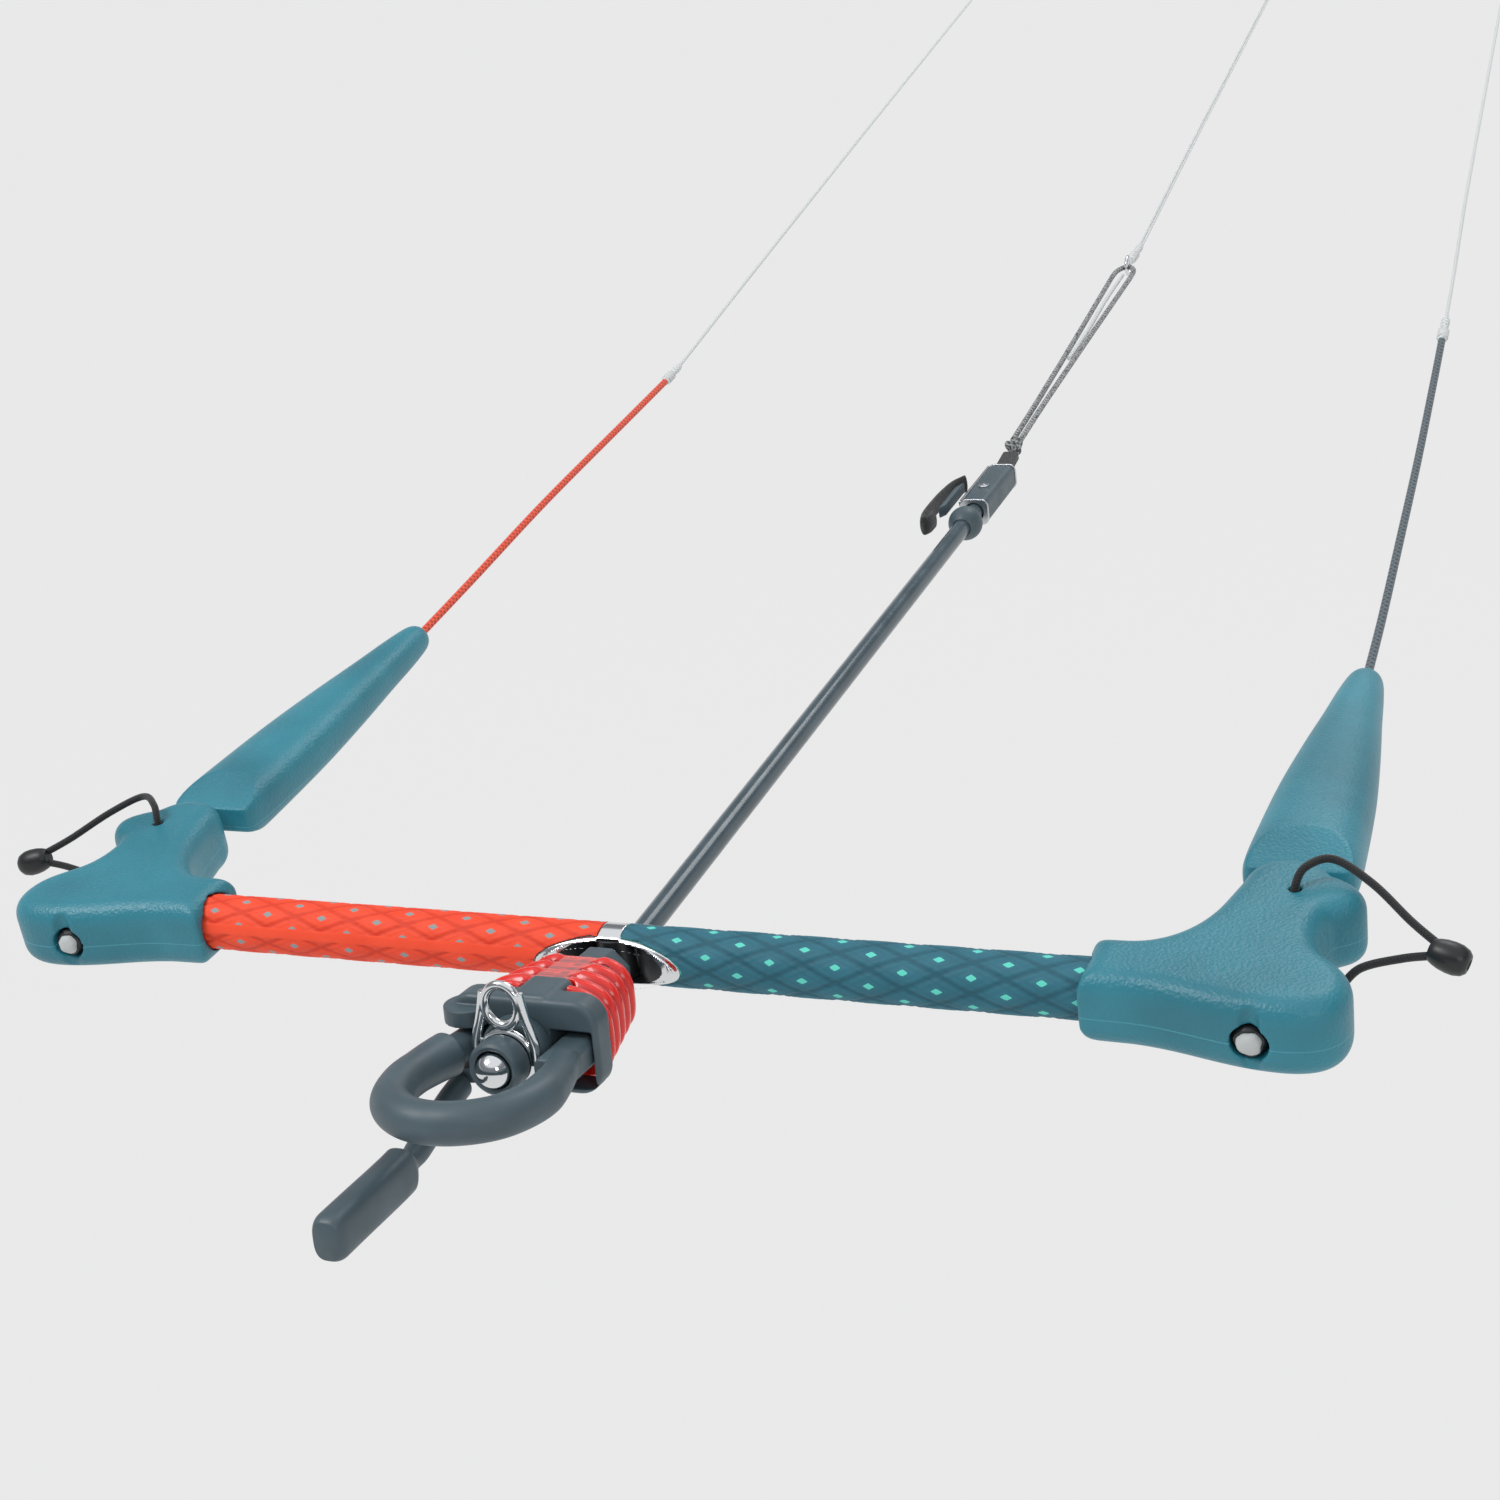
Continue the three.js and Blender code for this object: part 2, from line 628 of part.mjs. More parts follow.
// The grey swivel head: an eight-sided block that tapers into the bar's mouth.
function swivelHead() {
  const sections = [
    { y: -36, a: 9.4, b: 9.4 },
    { y: -27.6, a: 9.4, b: 9.4 },
    { y: -26, a: 11.9, b: 11.9 },
    { y: -14, a: 11.9, b: 11.9 },
    { y: -9.8, a: 8, b: 9.4 },
  ];
  const block = solid(loft(sections, 8, Math.PI / 8));
  const lane = solid(rod([0, -CUT, 0], [0, -12, 0], 3.3, 16));
  return cut(block, lane);
}

// The steel stud that joins head and body and lets the release turn.
function swivelStud() {
  const profile = [[0, -62], [5.4, -62], [5.4, -57], [3, -56.4], [3, -12.4], [0, -12.4]];
  return turned(profile, 18);
}

// The body: a barrel inside the sleeve and a wide front with the knuckle and the slot.
function releaseBody() {
  const barrel = alongY(roundedBox(30, 23, 7), -67, BODY_BACK, 1);
  const front = alongY(roundedBox(57, 34, 11), BODY_FRONT, -66.4, 2);
  const ridge = alongY(roundedBox(17, 14, 4), BODY_FRONT + 0.8, -58, 1.5).translate(3, 0, 11);
  const ear = (z) => solid(rod([-20.5, -76, z], [-20.5, -76, z + 6], 9.2, 20));
  const whole = union(solid(barrel), solid(front), solid(ridge), ear(7.2), ear(-13.2));
  const knuckle = box(-30, -84, 0, 34, 30, 14);
  const slot = box(SLOT_X, BODY_FRONT, -4, TONGUE_W + 3.2, 26, 21.2);
  const pin = rod([PIVOT[0], PIVOT[1], -11.5], [PIVOT[0], PIVOT[1], 11.5], 2.4, 16);
  const bearing = rod([0, -62.5, 0], [0, -54, 0], 5.8, 20);
  const lane = rod([0, -CUT * 2, 0], [0, 0, 0], 3.5, 16);
  return cut(whole, ...[knuckle, slot, pin, bearing, lane].map(solid));
}

// The sleeve the rider pushes away: a flared shell with four finger ribs and a flat top panel.
const RIBS = 4;

function releaseSleeve() {
  const sections = [{ y: SLEEVE_FRONT, a: 27.4, b: 17, square: 3.2 }];
  const pitch = (SLEEVE_BACK - SLEEVE_FRONT - 4) / RIBS;
  for (let rib = 0; rib <= RIBS; rib++) {
    const y = SLEEVE_FRONT + 0.8 + rib * pitch;
    const crest = { y, a: 28.8 - 2 * rib, b: 18 - 0.6 * rib, square: 3.2 };
    sections.push(crest, { ...crest, y: y + 2.2 });
    if (rib < RIBS) sections.push({ ...crest, y: y + 5.4, a: crest.a - 2.6, b: crest.b - 1.6 });
  }
  sections.push({ y: SLEEVE_BACK, a: 19, b: 14.4, square: 3 });
  const shell = solid(loft(sections, 24));
  const middle = (SLEEVE_BACK + SLEEVE_FRONT) / 2;
  const inside = alongY(roundedBox(31, 25.4, 7.6), SLEEVE_FRONT - 5, SLEEVE_BACK + 5);
  const panel = box(0, middle, 20, 14, 60, 7.4);
  const ridge = box(3, -66, 12.5, 18.4, 17.2, 20);
  return cut(shell, ...[inside, panel, ridge].map(solid));
}

// The coil that pushes the sleeve back over the body.
function sleeveSpring() {
  const [turns, perTurn] = [4, 9];
  const points = [];
  for (let i = 0; i <= turns * perTurn; i++) {
    const turn = (2 * Math.PI * i) / perTurn;
    const y = -35.4 + (6.8 * i) / (turns * perTurn);
    points.push([11 * Math.cos(turn), y, 11 * Math.sin(turn)]);
  }
  return tube(points, 0.6, turns * perTurn, 4);
}

// The chicken loop: a U of thick tube from the knuckle on the left to the slot on the right.
const LOOP = [
  [-19.5, -71, 0],
  [-21.3, -86, 0],
  [-24.6, -101, 0],
  [-25.6, -116, 0],
  [-20.4, -131, 0],
  [-8.5, -139.4, 0],
  [6, -139.4, 0],
  [19, -131.5, 0],
  [25.4, -117, 0],
  [24.4, -101, 0],
  [21.2, -88, 0],
  [19.2, -80, 0],
];

function chickenLoop() {
  const skin = solid(tube(LOOP.slice(2, -1), LOOP_R, 28, 12));
  const leg = solid(tube(LOOP.slice(0, 4), LEG_R, 6, 12));
  const bar = alongY(roundedBox(TONGUE_W, 11, 3), -91, -68, 1);
  const tongue = solid(bar.translate(TONGUE_X, 0, -1.6));
  const pin = rod([PIVOT[0], PIVOT[1], -CUT], [PIVOT[0], PIVOT[1], CUT], 3, 16);
  return cut(union(skin, leg, tongue), solid(pin));
}

// The moulded cuff where the loop's tube slips over its thinner end.
function loopCuff() {
  const [a, b] = LOOP.slice(1, 3);
  const start = vec(a).lerp(vec(b), 0.17).toArray();
  const outer = solid(rod(start, b, 8.5, 18));
  return cut(outer, solid(tube(LOOP.slice(0, 5), LOOP_R + GAP, 14, 12)));
}

// The leash swivel on the front: disc, collar, steel ball on its stem and the wire ring.
function leashDisc() {
  const profile = [[4, -86.6], [11, -86.6], [12.2, -84.6], [12.2, -79.6], [11.4, -78.5], [4, -78.5]];
  return turned([...profile, profile[0]], 24);
}

function leashCollar() {
  const profile = [
    [7, -99.6],
    [8.4, -100],
    [9.8, -98.2],
    [9.8, -91.8],
    [9.2, -91.2],
    [7.2, -91],
    [7.2, -87],
    [4, -87],
    [4, -91],
    [7, -94.5],
  ];
  return turned([...profile, profile[0]], 24);
}

function leashBall() {
  const ball = new THREE.SphereGeometry(6.4, 16, 10).translate(0, -98.6, 0);
  return union(solid(ball), solid(rod([0, -96, 0], [0, -70, 0], 2.6, 14)));
}

function leashRing() {
  const band = new THREE.TorusGeometry(9.4, WIRE_R - 0.1, 6, 20).rotateX(Math.PI / 2);
  const loop = new THREE.TorusGeometry(6.3, WIRE_R, 8, 18).scale(1, 1.16, 1).rotateX(Math.PI / 2);
  const stem = (x) => {
    const points = [[x * 0.6, -89.3, 24], [x * 0.78, -89.6, 15], [x, -89.6, 6], [x, -89.3, -1.5]];
    return solid(tube(points, WIRE_R, 5, 6));
  };
  const [low, high] = [band.translate(0, -89.2, 0), loop.translate(0, -89.6, 19.4)];
  return union(solid(low), solid(high), stem(11), stem(-11));
}

// The stiff finger that keeps the harness hook in the loop, hanging below it.
const STEM = [
  [-21.5, -86.8, -13.6],
  [-22, -95, -16],
  [-22, -106, -19.6],
  [-22, -119, -24],
];

function lockingFinger() {
  put("finger_stem", tube(STEM, 4.1, 7, 10), SLATE, release);
  const tab = put("finger_tab", alongY(roundedBox(12, 16, 4.6), -53, 0, 3), SLATE, release);
  tab.position.set(-22, -121.2, -25.4);
  tab.rotation.x = 0.03;
}

function quickRelease() {
  put("swivel_head", swivelHead(), SLATE, release);
  put("swivel_stud", swivelStud(), ALLOY, release);
  put("release_body", releaseBody(), SLATE, release);
  put("release_sleeve", releaseSleeve(), RED_SLEEVE, release);
  put("sleeve_spring", sleeveSpring(), ALLOY, release);
  put("chicken_loop", chickenLoop(), SLATE, release);
  put("loop_cuff", loopCuff(), SLATE, release);
  const [x, y] = PIVOT;
  put("loop_pivot", rod([x, y, -11], [x, y, 11], PIVOT_R, 14), ALLOY, release);
  put("latch_pin", rod([11.2, LATCH_Y, LATCH_Z], [26, LATCH_Y, LATCH_Z], 0.9, 12), ALLOY, release);
  put("leash_disc", leashDisc(), SLATE, release);
  put("leash_collar", leashCollar(), SLATE, release);
  put("leash_ball", leashBall(), CHROME, release);
  put("leash_ring", leashRing(), CHROME, release);
  lockingFinger();
}

// ---- assembly ----
for (const [side, name] of [[-1, "left"], [1, "right"]]) {
  put(`bar_tube_${name}`, barTube(side), ALLOY);
  put(`grip_${name}`, grip(side), side > 0 ? TEAL_GRIP : RED_GRIP);
  put(`bar_end_${name}`, barEnd(side), TEAL_FOAM);
  put(`line_knot_${name}`, lineKnot(side), ROPE_WHITE);
  bungee(side, name);
}
put("centre_insert", centreInsert(), CHROME);
put("line_bush", lineBush(), DARK);
depowerLine();
trim();
leaderSide(-1, "left", LEADER_LEFT, LINE_LEFT, ROPE_RED);
leaderSide(1, "right", LEADER_RIGHT, LINE_RIGHT, ROPE_SLATE);
quickRelease();

export default root;
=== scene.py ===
# Kite control bar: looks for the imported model. Lengths in this script are millimetres.
from math import atan2, copysign, cos, degrees, exp, hypot, pi, radians, sin, sqrt, tau

import bmesh
import bpy
from mathutils import Matrix, Vector
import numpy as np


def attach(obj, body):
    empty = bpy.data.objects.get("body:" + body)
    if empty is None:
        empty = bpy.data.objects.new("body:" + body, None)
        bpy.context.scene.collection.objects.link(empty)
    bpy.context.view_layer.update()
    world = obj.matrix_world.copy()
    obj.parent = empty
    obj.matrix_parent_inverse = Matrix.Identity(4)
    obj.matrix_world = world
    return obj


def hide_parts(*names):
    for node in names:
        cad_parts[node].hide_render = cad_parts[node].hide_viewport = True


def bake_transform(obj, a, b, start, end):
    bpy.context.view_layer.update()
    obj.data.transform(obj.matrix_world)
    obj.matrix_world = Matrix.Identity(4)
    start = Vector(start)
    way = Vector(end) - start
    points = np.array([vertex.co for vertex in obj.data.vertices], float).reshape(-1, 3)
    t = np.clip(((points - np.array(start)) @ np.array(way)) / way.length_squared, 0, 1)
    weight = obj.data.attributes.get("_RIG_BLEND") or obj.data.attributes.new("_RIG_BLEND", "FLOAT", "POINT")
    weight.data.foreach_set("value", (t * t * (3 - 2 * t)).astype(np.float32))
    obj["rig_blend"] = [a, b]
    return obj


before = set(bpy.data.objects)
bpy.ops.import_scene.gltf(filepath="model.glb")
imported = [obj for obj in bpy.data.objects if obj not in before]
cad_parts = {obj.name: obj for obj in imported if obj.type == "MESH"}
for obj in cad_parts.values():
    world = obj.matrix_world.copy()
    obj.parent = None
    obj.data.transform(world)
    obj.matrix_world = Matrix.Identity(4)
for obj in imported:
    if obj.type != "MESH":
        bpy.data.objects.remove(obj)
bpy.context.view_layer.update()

shift = Matrix.Translation

MM = 0.001
GAP = 0.3
TRUNK_Z = -4.0
RELEASE_TILT = radians(9.5)
LINE_X = 237.0
GRIP_R = 11.3
DOME_Y = 62.0
FLOAT_TILT = 0.03
LEADER_HOLE = 2.9
LEADER_Z = -1.5
KNUCKLE_X, KNUCKLE_Y = -19.5, -75
STOPPER_Y = 467.0
CLEAT_BACK, CLEAT_FRONT = 484.0, 545.0
CLEAT_MID = (CLEAT_BACK + CLEAT_FRONT) / 2
CLEAT_W, CLEAT_H, PLATE_X = 15.6, 14.4, -7.6
IDENTITY = Matrix.Identity(4)
TRUNK = shift((0, 0, TRUNK_Z))
RELEASE = TRUNK @ Matrix.Rotation(-RELEASE_TILT, 4, "X")


# ---- camera ----
def camera():
    """A 53 mm lens above the rider's right shoulder, looking down along the depower tube."""
    lens = bpy.data.cameras.new("camera")
    lens.lens = 53.2
    lens.sensor_width = 36
    lens.shift_x = -0.004
    lens.clip_end = 50
    back = -Vector((-0.378, 0.8273, -0.4155)).normalized()
    up = Vector((-0.0352, 0.4357, 0.8994))
    right = up.cross(back).normalized()
    up = back.cross(right)
    turn = Matrix((right, up, back)).transposed().to_4x4()
    obj = bpy.data.objects.new("camera", lens)
    obj.matrix_world = shift((0.3575, -0.6333, 0.4047)) @ turn
    bpy.context.collection.objects.link(obj)
    bpy.context.scene.camera = obj


camera()


# ---- colour and material helpers ----
def colour(hex_code):
    """An sRGB hex colour as linear RGBA."""
    parts = [int(hex_code[i:i + 2], 16) / 255 for i in (0, 2, 4)]
    return [c / 12.92 if c <= 0.04045 else ((c + 0.055) / 1.055) ** 2.4 for c in parts] + [1.0]


def add(tree, kind, links=None, **settings):
    """Adds one node. links maps an input's name or number to a socket or a value."""
    full = kind if kind.startswith(("GeometryNode", "NodeGroup")) else "ShaderNode" + kind
    node = tree.nodes.new(full)
    for key, value in settings.items():
        setattr(node, key, value)
    for key, value in (links or {}).items():
        socket = node.inputs[key]
        if isinstance(value, bpy.types.NodeSocket):
            tree.links.new(value, socket)
        else:
            socket.default_value = value
    return node


def material(name, **shader):
    """A named material with its Principled shader's own values set."""
    mat = bpy.data.materials.new(name)
    mat.use_nodes = True
    tree = mat.node_tree
    principled = tree.nodes["Principled BSDF"]
    for key, value in shader.items():
        principled.inputs[key.replace("_", " ")].default_value = value
    return mat, tree, principled


def ramp(tree, factor, stops):
    """A colour ramp; stops are (place, colour)."""
    node = add(tree, "ValToRGB", {0: factor})
    points = node.color_ramp.elements
    while len(points) < len(stops):
        points.new(0.5)
    for point, (place, rgba) in zip(points, stops):
        point.position = place
        point.color = rgba
    return node.outputs[0]


def bump(tree, principled, height, distance, strength=1.0):
    """Height in metres, drawn as a bump on the shader."""
    links = {"Height": height, "Distance": distance, "Strength": strength}
    tree.links.new(add(tree, "Bump", links).outputs[0], principled.inputs["Normal"])


def grain(tree, spacing, detail=3.0):
    """Noise whose grains are spacing mm apart."""
    place = add(tree, "TexCoord").outputs["Object"]
    links = {"Vector": place, "Scale": 1 / (spacing * MM), "Detail": detail}
    return add(tree, "TexNoise", links).outputs["Fac"]


def maths(tree, operation, a, b=0.0, c=0.0):
    return add(tree, "Math", {0: a, 1: b, 2: c}, operation=operation).outputs[0]


def attribute(tree, label):
    return add(tree, "Attribute", attribute_name=label, attribute_type="GEOMETRY")


def colour_mix(tree, factor, a, hex_code):
    """Colour a, and the hex colour where the factor is 1."""
    return add(tree, "Mix", {0: factor, 6: a, 7: colour(hex_code)}, data_type="RGBA").outputs[2]


# Moulded closed-cell EVA foam: a satin skin with a 1 mm pebble and a fine line of flash
# where the two halves of the mould met.
def foam():
    mat, tree, shader = material("eva_foam_teal", Roughness=0.4, Specular_IOR_Level=0.5)
    place = add(tree, "TexCoord").outputs["Object"]
    cells = add(tree, "TexVoronoi", {"Vector": place, "Scale": 1 / (1.1 * MM)}, feature="SMOOTH_F1")
    fine = grain(tree, 0.5, 2.0)
    height = maths(tree, "MULTIPLY_ADD", fine, 0.35, cells.outputs["Distance"])
    level = add(tree, "SeparateXYZ", {0: place}).outputs[2]
    off_seam = maths(tree, "ABSOLUTE", maths(tree, "ADD", level, 2.5 * MM))
    seam = maths(tree, "LESS_THAN", off_seam, 0.22 * MM)
    bump(tree, shader, maths(tree, "MULTIPLY_ADD", seam, 0.8, height), 0.00032, 0.75)
    patch = ramp(tree, grain(tree, 45, 2.0), [(0.3, colour("247384")), (0.7, colour("2f8799"))])
    tree.links.new(colour_mix(tree, seam, patch, "469aab"), shader.inputs["Base Color"])
    return mat


# Moulded soft grip: dyed EVA with printed diamonds. The lattice itself is in the mesh; its valleys get
# painted shade, darker the deeper they are.
def grip_skin(name, ground, shade, valley_shade, diamond):
    mat, tree, shader = material(name, Roughness=0.62, Specular_IOR_Level=0.35)
    split = add(tree, "SeparateXYZ", {0: attribute(tree, "lattice").outputs["Vector"]})
    across = maths(tree, "MULTIPLY", split.outputs[0], 1 / 2.25)
    around = maths(tree, "MULTIPLY", split.outputs[1], 1 / 1.3)
    inside = maths(tree, "LESS_THAN", maths(tree, "ADD", across, around), 1.0)
    patch = ramp(tree, grain(tree, 14, 4.0), [(0.25, colour(shade)), (0.75, colour(ground))])
    # Painted shade: the colour darkens in the lattice's valleys, the more the deeper they are.
    depth = maths(tree, "MULTIPLY", split.outputs[2], 0.75)
    tone = colour_mix(tree, inside, colour_mix(tree, depth, patch, valley_shade), diamond)
    tree.links.new(tone, shader.inputs["Base Color"])
    bump(tree, shader, grain(tree, 0.45, 3.0), 0.00012, 0.35)
    return mat


# Injection-moulded glass-filled nylon: a satin surface with a fine spark-eroded grain.
def nylon(name, light, dark, rough=0.42, spacing=0.35):
    mat, tree, shader = material(name, Specular_IOR_Level=0.5)
    patch = ramp(tree, grain(tree, 22, 3.0), [(0.3, colour(dark)), (0.7, colour(light))])
    tree.links.new(patch, shader.inputs["Base Color"])
    stops = [(0.3, [rough - 0.05] * 3 + [1]), (0.7, [rough + 0.07] * 3 + [1])]
    wear = ramp(tree, grain(tree, 9, 5.0), stops)
    tree.links.new(wear, shader.inputs["Roughness"])
    bump(tree, shader, grain(tree, spacing, 2.0), 0.00006, 0.4)
    return mat


# Glossy cast polyurethane: a clear red with a wet shine and a little subsurface glow. Its colour carries
# painted light, lighter on the ribs and the front edge, with painted shade in the grooves between ribs.
def red_urethane():
    mat, tree, shader = material("cast_polyurethane_red", Roughness=0.24, Subsurface_Weight=0.25,
                                 Subsurface_Radius=(0.004, 0.0008, 0.0006), Subsurface_Scale=1.0,
                                 Coat_Weight=0.3, Coat_Roughness=0.1)
    mark = attribute(tree, "mark").outputs["Fac"]
    # Painted light: 1 on the ribs and the front edge, which are coloured lighter; 0 in the grooves, which
    # get painted shade.
    painted_rib_light = attribute(tree, "painted_rib_light").outputs["Fac"]
    mottle_and_rib_light = maths(tree, "MULTIPLY_ADD", grain(tree, 12, 3.0), 0.3, painted_rib_light)
    patch = ramp(tree, mottle_and_rib_light, [(0.1, colour("a30c10")), (1.1, colour("e32419"))])
    tree.links.new(colour_mix(tree, mark, patch, "7c0f12"), shader.inputs["Base Color"])
    bump(tree, shader, grain(tree, 2.4, 2.0), 0.00010, 0.25)
    return mat


# Polished stainless steel: mirror bright with hairline polishing marks.
def polished_steel(name="polished_stainless", rough=0.1, tone="dfe1e3"):
    mat, tree, shader = material(name, Metallic=1.0, Roughness=rough, Base_Color=colour(tone))
    place = add(tree, "TexCoord").outputs["Object"]
    scale = (1 / (6 * MM), 1 / (0.5 * MM), 1 / (0.5 * MM))
    lines = add(tree, "Mapping", {"Vector": place, "Scale": scale})
    marks = add(tree, "TexNoise", {"Vector": lines.outputs[0], "Scale": 1.0, "Detail": 3.0})
    bump(tree, shader, marks.outputs["Fac"], 0.00001, 0.3)
    return mat


# Round braid: strands cross over each other, drawn from the cord's own length and girth. The colour is
# darker where the strands dip: painted shade between the strands.
def braid(name, light, dark, pitch, strands, fleck=None, rough=0.75):
    mat, tree, shader = material(name, Roughness=rough, Sheen_Weight=0.25, Sheen_Roughness=0.5)
    uv = add(tree, "SeparateXYZ", {0: add(tree, "UVMap", uv_map="UVMap").outputs[0]})
    along = maths(tree, "MULTIPLY", uv.outputs[0], tau / (pitch * MM))
    round_it = maths(tree, "MULTIPLY", uv.outputs[1], tau * strands)
    left = maths(tree, "SINE", maths(tree, "ADD", along, round_it))
    right = maths(tree, "SINE", maths(tree, "SUBTRACT", along, round_it))
    height = maths(tree, "MAXIMUM", left, right)
    # Painted shade: the gaps between strands are coloured darker than their crowns.
    tone = ramp(tree, height, [(0.0, colour(dark)), (0.75, colour(light))])
    if fleck:
        spots = maths(tree, "GREATER_THAN", grain(tree, 1.6, 1.0), 0.56)
        tone = colour_mix(tree, spots, tone, fleck)
    tree.links.new(tone, shader.inputs["Base Color"])
    bump(tree, shader, height, 0.00016, 0.6)
    return mat


# Plain-woven polyester webbing: black yarn, coloured grey on the weave's high points as a painted highlight
# and darker in its dips as painted shade, 0.6 mm apart.
def webbing():
    mat, tree, shader = material("woven_webbing_black", Roughness=0.85, Sheen_Weight=0.3)
    place = add(tree, "SeparateXYZ", {0: add(tree, "TexCoord").outputs["Object"]})
    warp = maths(tree, "SINE", maths(tree, "MULTIPLY", place.outputs[1], tau / (0.9 * MM)))
    total = maths(tree, "ADD", place.outputs[0], place.outputs[2])
    weft = maths(tree, "SINE", maths(tree, "MULTIPLY", total, tau / (0.9 * MM)))
    height = maths(tree, "MULTIPLY", warp, weft)
    # Painted highlight and shade: the colour follows the weave's height, grey on its high points and black
    # in its dips.
    tone = ramp(tree, height, [(0.3, colour("141516")), (0.85, colour("3b3d40"))])
    tree.links.new(tone, shader.inputs["Base Color"])
    bump(tree, shader, height, 0.0002, 0.6)
    return mat


FOAM = foam()
RED_GRIP = grip_skin("eva_grip_red", "fb5433", "f24a2b", "cf3419", "8f9a9b")
TEAL_GRIP = grip_skin("eva_grip_teal", "337587", "2b6879", "1d5060", "62d6c4")
SLATE = nylon("glass_filled_nylon_slate", "4b5c64", "405057", 0.45)
SLATE_GLOSS = nylon("polyurethane_sheath_slate", "4d5c64", "414f56", 0.16, 6.0)
BLACK = nylon("moulded_nylon_black", "232527", "161719", 0.38)
RED = red_urethane()
STEEL = polished_steel()
BRUSHED = polished_steel("brushed_stainless", 0.28, "c9cccf")
ALLOY = polished_steel("anodised_alloy", 0.35, "9a9fa3")
LINE = braid("braided_polyethylene_white", "dfe2e2", "bcc0c0", 3.0, 3)
LEADER_RED = braid("braided_leader_orange", "f4512b", "a92f16", 3.6, 3)
LEADER_SLATE = braid("braided_leader_slate", "596770", "2f383d", 3.6, 3)
TRIM_ROPE = braid("braided_trim_rope_grey", "a3a6a7", "5a5d5f", 3.4, 3, "3a3d3f")
ELASTIC = braid("braided_elastic_black", "1b1c1e", "0c0c0d", 1.2, 5)
WEBBING = webbing()
THREAD = nylon("waxed_thread_white", "e4e6e6", "cdd0d0", 0.6, 0.8)


# ---- mesh helpers, in millimetres ----
def new_object(name, mesh, mat=None):
    obj = bpy.data.objects.new(name, mesh)
    if mat:
        mesh.materials.append(mat)
    bpy.context.collection.objects.link(obj)
    return obj


def new_mesh(name, verts, faces, place=IDENTITY):
    """A mesh from points in mm, moved by place."""
    mesh = bpy.data.meshes.new(name)
    mesh.from_pydata([(place @ Vector(v)) * MM for v in verts], [], faces)
    return mesh


def evaluated_mesh(obj):
    """The object's mesh with its modifiers, or its curve as a mesh."""
    bpy.context.view_layer.update()
    graph = bpy.context.evaluated_depsgraph_get()
    return bpy.data.meshes.new_from_object(obj.evaluated_get(graph))


def circle(count):
    """The cosine and sine of count even turns."""
    turns = [tau * i / count for i in range(count)]
    return [(cos(turn), sin(turn)) for turn in turns]


def finish_mesh(obj, sharp=40.0):
    """Points faces outward and marks edges sharper than the angle as hard."""
    data = bmesh.new()
    data.from_mesh(obj.data)
    bmesh.ops.remove_doubles(data, verts=data.verts, dist=1e-6)
    bmesh.ops.recalc_face_normals(data, faces=data.faces)
    limit = radians(sharp)
    for edge in data.edges:
        edge.smooth = edge.calc_face_angle(0.0) < limit
    for face in data.faces:
        face.smooth = True
    data.to_mesh(obj.data)
    data.free()
    return obj


def piece(name, verts, faces, mat, place=IDENTITY, sharp=40.0):
    """A mesh object from points in mm, moved by place."""
    return finish_mesh(new_object(name, new_mesh(name, verts, faces, place), mat), sharp)


def moved(obj, place):
    """Moves a mesh by a placement in mm."""
    scale = Matrix.Scale(MM, 4)
    obj.data.transform(scale @ place @ scale.inverted())
    return obj


def rings_mesh(rings, closed=False):
    """Faces joining equal rings of points in turn, with fan caps unless closed."""
    count = len(rings[0])
    verts = [p for ring in rings for p in ring]
    faces = []
    for k in range(len(rings) if closed else len(rings) - 1):
        low, high = k * count, ((k + 1) % len(rings)) * count
        for i in range(count):
            j = (i + 1) % count
            faces.append((low + i, low + j, high + j, high + i))
    if not closed:
        for k in (0, len(rings) - 1):
            centre = sum((Vector(p) for p in rings[k]), Vector()) / count
            verts.append(centre)
            hub = len(verts) - 1
            for i in range(count):
                faces.append((k * count + i, k * count + (i + 1) % count, hub))
    return verts, faces


def prism(name, outline, low, high, mat, place=IDENTITY):
    """An outline in XY drawn out from one height to another."""
    count = len(outline)
    verts = [(x, y, z) for z in (low, high) for x, y in outline]
    faces = [tuple(range(count)), tuple(range(2 * count - 1, count - 1, -1))]
    faces += [(i, (i + 1) % count, count + (i + 1) % count, count + i) for i in range(count)]
    return piece(name, verts, faces, mat, place)


def oval(y, a, b, x=0.0, z=0.0, square=2.0, sides=64, start=0.0):
    """A rounded section across Y: an ellipse, squarer as square grows."""
    ring = []
    for i in range(sides):
        turn = start + tau * i / sides
        c, s = cos(turn), sin(turn)
        px = copysign(abs(c) ** (2 / square), c)
        pz = copysign(abs(s) ** (2 / square), s)
        ring.append((x + a * px, y, z + b * pz))
    return ring


def smooth_steps(keys, count):
    """Rows of numbers eased between key rows, by a Catmull-Rom curve."""
    rows = []
    last = len(keys) - 1
    for i in range(count + 1):
        t = last * i / count
        k = min(int(t), last - 1)
        f = t - k
        p = [keys[max(k - 1, 0)], keys[k], keys[k + 1], keys[min(k + 2, last)]]
        row = []
        for a, b, c, d in zip(*p):
            row.append(0.5 * (2 * b + (c - a) * f + (2 * a - 5 * b + 4 * c - d) * f * f
                              + (3 * b - a - 3 * c + d) * f ** 3))
        rows.append(row)
    return rows


def route(points, step):
    """The smooth curve through points, resampled every step mm."""
    dense = [Vector(p) for p in smooth_steps(points, 40 * (len(points) - 1))]
    total = length_of(dense)
    count = max(2, round(total / step))
    out, gone, k = [dense[0]], 0.0, 0
    for i in range(1, count):
        target = total * i / count
        while gone + (dense[k + 1] - dense[k]).length < target:
            gone += (dense[k + 1] - dense[k]).length
            k += 1
        span = (dense[k + 1] - dense[k]).length
        out.append(dense[k].lerp(dense[k + 1], (target - gone) / span))
    return out + [dense[-1]]


def length_of(points):
    return sum((b - a).length for a, b in zip(points, points[1:]))


